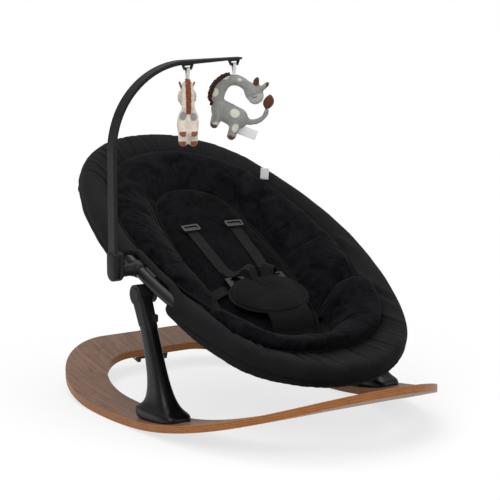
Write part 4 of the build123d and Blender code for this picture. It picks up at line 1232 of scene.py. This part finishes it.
for side, name in SIDES:
    u = np.linspace(*SHOULDER_U, SHOULDER_N)
    v = side * np.interp(u, *SHOULDER_V)
    lay_strap(f"shoulder_web_{name}", u, v, f"shoulder_strap_{name}")
    v = side * np.linspace(*WAIST_V, WAIST_N)
    lay_strap(f"waist_web_{name}", WAIST_U + WAIST_LEAN * np.abs(v), v, f"waist_strap_{name}")

# Crotch pad: an oval cushion with a dip at its upper edge and a bound rim
CROTCH_U, CROTCH_A, CROTCH_B, CROTCH_LOW, CROTCH_SAG = 110.0, 47.0, 74.0, -20.0, 0.0014
CROTCH_RINGS = (
    (0.30, 0.6), (0.60, 0.8), (0.85, 1.2), (0.95, 3.0), (1.0, 6.2), (0.985, 8.6), (0.95, 10.6),
    (0.86, 12.2), (0.70, 13.0), (0.50, 13.3), (0.28, 13.4),
)
# The ring at the pad's edge
CROTCH_EDGE = 4
CROTCH_N, BINDING_SCALE, BINDING_H, BINDING_R, STITCH_SCALE = 120, 1.005, 6.6, 2.0, (0.915, 0.93)


def crotch_outline():
    angle = np.linspace(0, TURN, CROTCH_N + 1)[:-1]
    x = np.cos(angle) * CROTCH_A * (1 + 0.05 * np.cos(angle))
    y = np.sin(angle) * CROTCH_B * (1 - 0.07 * np.cos(angle))
    return x + 6.0 * hump(y, 0.0, 15.0) * (x < 0), y


def crotch_ring(scale, h):
    x, y = crotch_outline()
    return level(CROTCH_U + x * scale, y * scale, CROTCH_LOW + h - CROTCH_SAG * (y * scale) ** 2)


def make_crotch_pad():
    grid = np.array([crotch_ring(scale, h) for scale, h in CROTCH_RINGS])
    x, y = grid[:, :, 0], grid[:, :, 1]
    folds = 2.2 * np.sin(y / 12.0 + 0.9 * np.sin(x / 17.0)) + 1.2 * np.sin(x / 9.0 + y / 19.0)
    grid[:, :, 2] += folds * (np.arange(len(grid)) > CROTCH_EDGE + 2)[:, None]
    cushion = stacked_object("crotch_cushion", seat_world(bed_seat(grid)), M["crotch"])
    puff(cushion, row_points(range(CROTCH_EDGE + 1), CROTCH_N), pressure=2.0, cap=4.0, grow=0.02)
    place(subdivide(cushion), "velvet", "crotch_pad", fill=0.6)
    edge = seat_world(bed_seat(crotch_ring(BINDING_SCALE, BINDING_H)))
    binding = tube_mesh("crotch_binding", edge, BINDING_R * MM, M["web"], closed=True, sides=10, lift=SEAT_UP)
    place(binding, "webbing")
    x, y = crotch_outline()
    loop = level(CROTCH_U + x * STITCH_SCALE[0], y * STITCH_SCALE[1], 0.0)
    loop = drop_on(surface_tree(cushion), bed_seat(np.vstack([loop, loop[:1]])), 0.1)
    place(stitches("crotch_stitching", loop, SEAT_UP, M["thread"]), "webbing")


# Loose loops of webbing between the shoulder straps and the crotch pad, as points of the bed
LOOP_KNOTS = (
    (28.0, 40.0, -27.5), (42.0, 38.0, -24.5), (53.0, 33.0, -12.0), (54.0, 25.0, -1.0), (60.0, 18.0, 2.0),
    (69.0, 14.0, -6.0), (76.0, 12.0, -14.0),
)
LOOP_N, LOOP_W = 40, 21.0
# Crotch band: sideways place and height at places along it
CROTCH_BAND_U = (96, 112, 128, 142, 156, 170, 180, 188)
CROTCH_BAND_H = (-23.0, -22.5, -19.5, -16.5, -16.0, -20.5, -29.0, -40.0)
CROTCH_BAND_V = ((96, 150, 188), (2.0, 8.0, 9.0))
CROTCH_BAND_W, CROTCH_BAND_T, CROTCH_BAND_BOW, CROTCH_BAND_N = 82, 5.0, 3.0, 30


def harness_loop(side, name):
    line = smooth_profile(LOOP_KNOTS, LOOP_N)
    line[:, 1] *= side
    lean = np.interp(np.linspace(0, 1, LOOP_N), [0, 0.4, 1.0], [0.15, 0.9, 0.5]) * side
    across = np.stack([lean, np.ones(LOOP_N), np.zeros(LOOP_N)], -1)
    across = seat_world(bed_seat(across)) - seat_world(bed_seat(np.zeros((LOOP_N, 3))))
    path = seat_world(bed_seat(line))
    web = strip_mesh(f"harness_loop_{name}", path, across, LOOP_W * MM, WEB_T * MM, M["web"])
    place(web, "webbing")


def make_crotch_band():
    """A wide band from under the crotch pad down between the legs."""
    u = np.linspace(CROTCH_BAND_U[0], CROTCH_BAND_U[-1], CROTCH_BAND_N)
    v = np.interp(u, *CROTCH_BAND_V)
    h = eased(np.interp(u, CROTCH_BAND_U, CROTCH_BAND_H))
    across = np.tile(unit(seat_world([0, 1.0, 0]) - seat_world([0, 0, 0])), (len(u), 1))
    path = seat_world(bed_seat(level(u, v, h)))
    size = {"width": CROTCH_BAND_W * MM, "thick": CROTCH_BAND_T * MM, "bow": CROTCH_BAND_BOW * MM}
    band = strip_mesh("crotch_webbing", path, across, material=M["crotch"], **size)
    place(band, "velvet", "crotch_band")


make_crotch_pad()
for side, name in SIDES:
    harness_loop(side, name)
make_crotch_band()

# Plush toys
SKIN_PARTS = ("body", "neck", "head", "legs", "tail")
FELT = {"grey": "brown", "cream": "rust"}
MANE = {"grey": "maroon", "cream": "rust"}
HORN = {"grey": "greyfelt", "cream": "cream"}
MANE_SPREAD = {"grey": 1.0, "cream": 0.6}
LEG_TOPS = ((-27.0, -66.0), (3.0, -80.0))
LEG_ENDS = ((-33.0, -83.0), (-4.0, -102.0))
LEG_R = 10.5
# Patches of the second and the third colour: centre and radius
PATCHES = {
    "grey": (),
    "cream": (
        (6.0, 16.0, -72.0, 7.5), (20.0, 8.0, -84.0, 6.5), (-8.0, 17.0, -58.0, 5.5),
        (22.0, -8.0, -66.0, 6.0), (12.0, -16.0, -82.0, 6.5), (36.0, 14.0, -30.0, 5.0),
    ),
}
SPOTS = {
    "grey": ((36.0, 0.0, -40.0, 16.5),),
    "cream": ((-33.0, 9.0, -55.0, 7.5), (-33.0, -7.0, -57.0, 7.0)),
}
TUFT_ROOT = np.array([55.3, 0.0, -57.0])
TUFT_TIP = np.array([60.5, 0.0, -34.5])
TUFT_N = 16
LOCK_R = (1.5, 2.5, 3.1, 3.3, 3.1, 2.6, 1.8, 0.7)
HAIR_R = (1.9, 2.1, 2.0, 1.6, 0.7)
HORN_R = (4.6, 4.5, 4.3, 4.0, 3.8, 3.6, 3.4, 2.8, 1.2)
HORN_TIP_X = 53.0
MANE_LINE = ((-39.0, -50.0), (-37.5, -39.0), (-33.5, -27.0), (-27.0, -15.5), (-17.5, -6.0), (-7.5, -1.5))
MANE_N, MANE_ROWS = 30, (-3.2, -1.6, 0.0, 1.6, 3.2)
EYE_AT, EYE_HALF, LID_R = (33.5, -35.0), (4.2, 2.4), 0.75
RIBBON_W, RIBBON_T, RIBBON_TURN_R = 6, 0.9, 3.2
SKIN_VOXEL, TOY_SEED = 2.2, 31


def toy_world(toy, points):
    """Points of a toy (along it, across it, above its top) in metres."""
    yaw = math.radians(TOY_YAW[toy])
    p = np.asarray(points, float)
    x = HOOK_X + p[..., 0] * math.cos(yaw) - p[..., 1] * math.sin(yaw)
    y = HOOK_Y[toy] + p[..., 0] * math.sin(yaw) + p[..., 1] * math.cos(yaw)
    return np.stack([x, y, HANG_Z[toy] + p[..., 2]], -1) * MM


def toy_local(toy, points):
    """Points in metres as points of a toy."""
    yaw = math.radians(TOY_YAW[toy])
    p = np.asarray(points, float) / MM
    x, y = p[..., 0] - HOOK_X, p[..., 1] - HOOK_Y[toy]
    along, across = x * math.cos(yaw) + y * math.sin(yaw), -x * math.sin(yaw) + y * math.cos(yaw)
    return np.stack([along, across, p[..., 2] - HANG_Z[toy]], -1)


def toy_tube(toy, name, line, radii, key, sides, lift):
    """A tube along points of a toy, with a radius for each."""
    radius = np.array(radii) * MM
    return tube_mesh(f"{toy}_{name}", toy_world(toy, line), radius, M[key], sides=sides, lift=lift)


def place_toy(obj, toy, slot, *parts, fill=None):
    """Gives a piece of a toy its body and hides the toy's parts that it stands for. Its slot and its stuffing
    are not used.
    """
    place(obj, slot, *[f"toy_{toy}_{part}" for part in parts], body=f"{toy}_toy", fill=fill)


def fused(name, parts, material):
    """The CAD parts of a stuffed toy sewn into one soft skin."""
    obj = new_object(name, *pooled([nodes[part] for part in parts]), material)
    remesh = obj.modifiers.new("remesh", "REMESH")
    remesh.mode = "VOXEL"
    remesh.voxel_size = SKIN_VOXEL * MM
    relax = obj.modifiers.new("relax", "SMOOTH")
    relax.factor = 0.5
    relax.iterations = 5
    mesh = bpy.data.meshes.new_from_object(obj.evaluated_get(bpy.context.evaluated_depsgraph_get()))
    obj.modifiers.clear()
    obj.data = mesh
    mesh.materials.clear()
    mesh.materials.append(material)
    mesh.polygons.foreach_set("use_smooth", [True] * len(mesh.polygons))
    return obj


def feet(local):
    """Which points lie at the ends of the toy's legs."""
    x, y, z = local.T
    found = np.zeros(len(local), bool)
    for (x0, z0), (x1, z1) in zip(LEG_TOPS, LEG_ENDS):
        axis = np.array([x1 - x0, z1 - z0])
        along = ((x - x0) * axis[0] + (z - z0) * axis[1]) / (axis @ axis)
        away = np.hypot(x - (x0 + axis[0] * along), z - (z0 + axis[1] * along))
        found |= (along > 0.98) & (away < LEG_R) & (np.abs(y) > 4.0)
    return found


def make_skin(toy):
    """The stuffed body, with painted feet and patches."""
    skin = fused(f"{toy}_plush_skin", [f"toy_{toy}_{part}" for part in SKIN_PARTS], M[toy])
    local = toy_local(toy, read_points(skin))
    fluff = wobble(local, size=7.0, amount=0.5, seed=21) + wobble(local, size=18.0, amount=0.8, seed=22)
    move_points(skin, read_points(skin).astype(float) + read_points(skin, "normal") * fluff[:, None] * MM)
    patch = feet(local)
    for *centre, r in PATCHES[toy]:
        patch |= np.linalg.norm(local - np.array(centre), axis=1) < r
    paint(skin, patch)
    soft = np.zeros(len(local))
    for *centre, r in SPOTS[toy]:
        away = np.linalg.norm(local - np.array(centre), axis=1)
        soft = np.maximum(soft, limited((r + 1.5 - away) / 3.0))
    paint(skin, soft, "spot")
    place_toy(subdivide(skin), toy, f"{toy}_plush", *SKIN_PARTS, fill=0.85)
    return skin


def make_tuft(toy, rng):
    """The end of the tail: a bundle of soft locks."""
    locks = []
    for k in range(TUFT_N):
        turn = TURN * k / TUFT_N + rng.uniform(-0.2, 0.2)
        wide = rng.uniform(4.6, 6.6)
        out = np.array([math.cos(turn), 0.7 * math.sin(turn), 0.0])
        line = []
        for s in np.linspace(0, 1, len(LOCK_R)):
            bulge = math.sin(math.pi * min(1, s * 0.86 + 0.10))
            line.append(TUFT_ROOT + (TUFT_TIP - TUFT_ROOT) * s + out * wide * bulge)
        locks.append(toy_tube(toy, f"lock_{k}", line, LOCK_R, FELT[toy], 7, (0.3, 0.9, 0.1)))
    place_toy(join(locks, f"{toy}_tail_tuft"), toy, "brown_felt", "tuft", fill=0.7)


def make_ear(toy, side, width=5.2):
    """A flat soft leaf."""
    root, tip = np.array([35.0, side * 8.0, -19.0]), np.array([39.5, side * 13.0, -6.5])
    along = tip - root
    across = unit(np.cross(along, np.array([0.0, 1.0, 0.3])))
    thick = unit(np.cross(across, along))
    rows = []
    for w in np.linspace(0, TURN, 12, endpoint=False):
        row = []
        for s in np.linspace(0, 1, 9):
            wide = width * math.sin(math.pi * (0.16 + 0.80 * s)) ** 0.8
            high = 1.5 * math.sin(w) - 1.6 * math.cos(w) ** 2 * s
            row.append(root + along * s + across * wide * math.cos(w) + thick * high)
        rows.append(row)
    return ring_object(f"{toy}_ear_{side}", toy_world(toy, rows), False, M[FELT[toy]])


def make_horn(toy, side):
    """A little horn with a dark tip."""
    line = []
    for s in np.linspace(0, 1, len(HORN_R)):
        line.append((43.0 + 15.0 * s, side * (6.0 + 1.5 * s), -26.0 + 9.0 * s + 2.5 * s * s))
    horn = toy_tube(toy, f"horn_{side}", line, HORN_R, HORN[toy], 10, (0.2, 0.1, 1.0))
    horn.data.materials.append(M[FELT[toy]])
    x = toy_local(toy, read_points(horn))[:, 0]
    tips = [sum(x[i] for i in f.vertices) / len(f.vertices) > HORN_TIP_X for f in horn.data.polygons]
    horn.data.polygons.foreach_set("material_index", [int(tip) for tip in tips])
    return horn


def make_ears(toy):
    pieces = []
    for side, _ in SIDES:
        pieces += [make_ear(toy, side), make_horn(toy, side)]
    place_toy(subdivide(join(pieces, f"{toy}_ears_horns")), toy, "brown_felt", "ears", fill=0.5)


def make_mane(toy, skin_tree, rng):
    """Rows of short locks along the back of the neck, set on the skin."""
    path = smooth_profile([(x, 0.0, z) for x, z in MANE_LINE], MANE_N)
    tangent = unit(np.gradient(path, axis=0))
    away = np.stack([-tangent[:, 2], np.zeros(MANE_N), tangent[:, 0]], -1)
    for k in range(MANE_N):
        start, end = (toy_world(toy, path[k] + away[k] * reach) for reach in (25.0, -25.0))
        hit = first_hit(skin_tree, start, end)
        if hit:
            path[k] = toy_local(toy, hit) - away[k]
    path = eased(path)
    crest = np.sin(np.linspace(0.12, 0.90, MANE_N) * math.pi) ** 0.5
    hairs = []
    for k in range(MANE_N):
        for side in np.array(MANE_ROWS) * MANE_SPREAD[toy]:
            reach = (rng.uniform(7.0, 9.0) - 0.4 * abs(side)) * crest[k]
            lean = tangent[k] * rng.uniform(-1.2, 1.4) + np.array([0, side * rng.uniform(0.6, 1.3), 0])
            root = path[k] + np.array([0, side, 0])
            line = [root + away[k] * reach * s + lean * s * s for s in np.linspace(-0.25, 1, len(HAIR_R))]
            hairs.append(toy_tube(toy, f"hair_{k}_{side}", line, HAIR_R, MANE[toy], 5, (0.05, 0.99, 0.1)))
    place_toy(join(hairs, f"{toy}_mane_hair"), toy, "brown_felt", "mane", fill=0.5)


def make_eyes(toy, skin_tree):
    """Closed eyes: a short stitched arc on each side of the head."""
    lids = []
    for side, _ in SIDES:
        arc = []
        for a in np.linspace(0.15, math.pi - 0.15, 9):
            x, z = EYE_AT[0] + EYE_HALF[0] * math.cos(a), EYE_AT[1] - EYE_HALF[1] * math.sin(a)
            at = np.array([x, side * 30.0, z])
            middle = toy_world(toy, at * np.array([1, 0, 1]))
            hit = first_hit(skin_tree, toy_world(toy, at), middle)
            arc.append(np.array(hit) if hit else middle)
        lid = tube_mesh(f"{toy}_lid_{side}", arc, LID_R * MM, M["maroon"], sides=6, lift=(0.1, 0.2, 1.0))
        lids.append(lid)
    place_toy(join(lids, f"{toy}_closed_eyes"), toy, "brown_felt")


def make_ribbon(toy):
    """A loop from the hook to the neck."""
    turn_r, middle = RIBBON_TURN_R, RIBBON_L[toy] - 1.3
    arc = [(turn_r * math.cos(a), middle + turn_r * math.sin(a)) for a in np.linspace(0, math.pi, 13)]
    down = [(turn_r, middle), (2.6, middle - 4), (1.6, middle - 8), (0.9, 3.5), (0.75, 0.4)]
    line = down[::-1] + arc[1:-1] + [(-x, z) for x, z in down]
    path = np.array([(HOOK_X + x, HOOK_Y[toy], HANG_Z[toy] + z) for x, z in line]) * MM
    across = np.tile([0.0, 1.0, 0.0], (len(path), 1))
    ribbon = strip_mesh(f"{toy}_ribbon_loop", path, across, RIBBON_W * MM, RIBBON_T * MM, M["ribbon"])
    place_toy(subdivide(ribbon), toy, "white_ribbon", "ribbon")


def make_toy(toy):
    """All pieces of one toy. The tuft and the mane draw from one row of random numbers, in this order."""
    rng = np.random.default_rng(TOY_SEED)
    skin_tree = surface_tree(make_skin(toy))
    make_tuft(toy, rng)
    make_ears(toy)
    make_mane(toy, skin_tree, rng)
    make_eyes(toy, skin_tree)
    make_ribbon(toy)


make_toy("grey")
make_toy("cream")

# Bare white labels: one in the band's far seam, one on the grey toy
RIGHT_IN_VIEW = np.array([0.5583, 0.8296, 0.0])
AWAY_IN_VIEW = np.array([-0.8296, 0.5583, 0.0])
TAG_PHI, TAG_SIZE = 1.940, (15.0, 21.0)
TAG_ALONG, TAG_DOWN = np.array([0.62, 0.78, -0.08]), np.array([-0.02, 0.10, 0.99])
LABEL_AT, LABEL_SIZE = (10.0, -3.0, -84.0), (32.0, 16.0)
LABEL_ROWS, LABEL_COLS, LABEL_T = 9, 13, 0.5


def cloth_label(name, corner, along, down, size, body, curl=1.5):
    """A small sewn sheet that curls a little."""
    wide, tall = size
    rows = []
    for j in np.linspace(0, 1, LABEL_ROWS):
        for i in np.linspace(0, 1, LABEL_COLS):
            lift = curl * math.sin(math.pi * i) * j + 0.4 * curl * j * j
            rows.append(corner + along * i * wide + down * j * tall + np.cross(along, down) * lift)
    label = new_object(name, np.array(rows) * MM, grid_faces(LABEL_ROWS, LABEL_COLS), M["label"])
    thick = label.modifiers.new("thick", "SOLIDIFY")
    thick.thickness = LABEL_T * MM
    thick.offset = 0.0
    place(label, "white_ribbon", body=body)


tag_at = seat_world(layer(0.0, 4.0, np.array([TAG_PHI]))[0]) / MM
cloth_label("rim_tag", tag_at, TAG_ALONG, TAG_DOWN, TAG_SIZE, "seat")
label_at = toy_world("grey", LABEL_AT) / MM
label_along = unit(RIGHT_IN_VIEW * 0.94 + np.array([0.0, 0.0, -0.34]))
label_down = unit(np.cross(AWAY_IN_VIEW, label_along))
cloth_label("toy_label", label_at, label_along, label_down, LABEL_SIZE, "grey_toy")

# Floor, light and camera
FLOOR_SIZE, FLOOR_Z, SKY_LIGHT = 14, -0.0005, 0.45
SHADOW_FADE = {"From_Min": 0.30, "From_Max": 0.95, "To_Min": 0.72}
# Each lamp's name, place, target, size and power
LAMPS = (
    ("key", (1.2, -2.2, 2.6), (0, 0, 0.25), (2.2, 2.2), 60),
    ("fill", (2.6, 1.6, 1.8), (0, 0, 0.25), (2.4, 2.0), 26),
    ("top", (-0.6, 0.3, 3.0), (0, 0, 0.2), (2.6, 2.6), 50),
)
CAMERA_AT, CAMERA_LOOK = (2.7608, -1.8491, 0.8834), (-0.81581, 0.54901, -0.18172)
LENS, SENSOR, FAR_CLIP = 144, 36, 50


def make_floor():
    """A pale floor that keeps the shadow near the object and fades to plain white away from it."""
    bpy.ops.mesh.primitive_plane_add(size=FLOOR_SIZE, location=(0, 0, FLOOR_Z))
    floor = bpy.context.object
    floor.name = "floor"
    m = Nodes("floor", (0.86, 0.86, 0.86), 0.9)
    m.color(m.ramp(m.noise(0.4, 2), (0.3, (0.85, 0.85, 0.85)), (0.7, (0.87, 0.87, 0.87))))
    rays = m.node("ShaderNodeLightPath").outputs
    mirrored = m.math("MAXIMUM", rays["Is Glossy Ray"], rays["Is Transmission Ray"])
    seen = m.math("MAXIMUM", rays["Is Camera Ray"], mirrored)
    far = m.node("ShaderNodeVectorMath", operation="LENGTH")
    m.link(m.coords, far.inputs[0])
    fade = m.node("ShaderNodeMapRange", interpolation_type="SMOOTHSTEP")
    set_inputs(fade, **SHADOW_FADE)
    m.link(far.outputs["Value"], fade.inputs["Value"])
    blend = m.node("ShaderNodeMixShader")
    m.link(m.math("MULTIPLY", seen, fade.outputs["Result"]), blend.inputs[0])
    m.link(m.shader.outputs[0], blend.inputs[1])
    m.link(m.node("ShaderNodeEmission").outputs[0], blend.inputs[2])
    m.link(blend.outputs[0], m.tree.nodes["Material Output"].inputs["Surface"])
    floor.data.materials.append(m.mat)


def make_sky():
    """A soft white surrounding that the camera sees as plain white."""
    world = bpy.data.worlds.new("studio")
    scene.world = world
    world.use_nodes = True
    sky = world.node_tree
    light = sky.nodes["Background"]
    set_inputs(light, Color=(1, 1, 1, 1), Strength=SKY_LIGHT)
    white = sky.nodes.new("ShaderNodeBackground")
    set_inputs(white, Color=(1, 1, 1, 1))
    mixed = sky.nodes.new("ShaderNodeMixShader")
    rays = sky.nodes.new("ShaderNodeLightPath").outputs
    for output, socket in zip((rays["Is Camera Ray"], light.outputs[0], white.outputs[0]), mixed.inputs):
        sky.links.new(output, socket)
    sky.links.new(mixed.outputs[0], sky.nodes["World Output"].inputs["Surface"])


def lamp(name, location, target, size, energy):
    data = bpy.data.lights.new(name, "AREA")
    data.shape = "RECTANGLE"
    data.size, data.size_y = size
    data.energy = energy
    obj = bpy.data.objects.new(name, data)
    scene.collection.objects.link(obj)
    obj.location = location
    obj.rotation_euler = (Vector(target) - Vector(location)).to_track_quat("-Z", "Y").to_euler()


def make_camera():
    data = bpy.data.cameras.new("camera")
    data.lens = LENS
    data.sensor_width = SENSOR
    data.clip_end = FAR_CLIP
    camera = bpy.data.objects.new("camera", data)
    scene.collection.objects.link(camera)
    right = Vector(RIGHT_IN_VIEW).normalized()
    look = Vector(CAMERA_LOOK).normalized()
    turn = Matrix((right, right.cross(look).normalized(), -look)).transposed().to_4x4()
    camera.matrix_world = Matrix.Translation(CAMERA_AT) @ turn
    scene.camera = camera


make_floor()
make_sky()
for setting in LAMPS:
    lamp(*setting)
make_camera()
scene.view_settings.view_transform = "Standard"
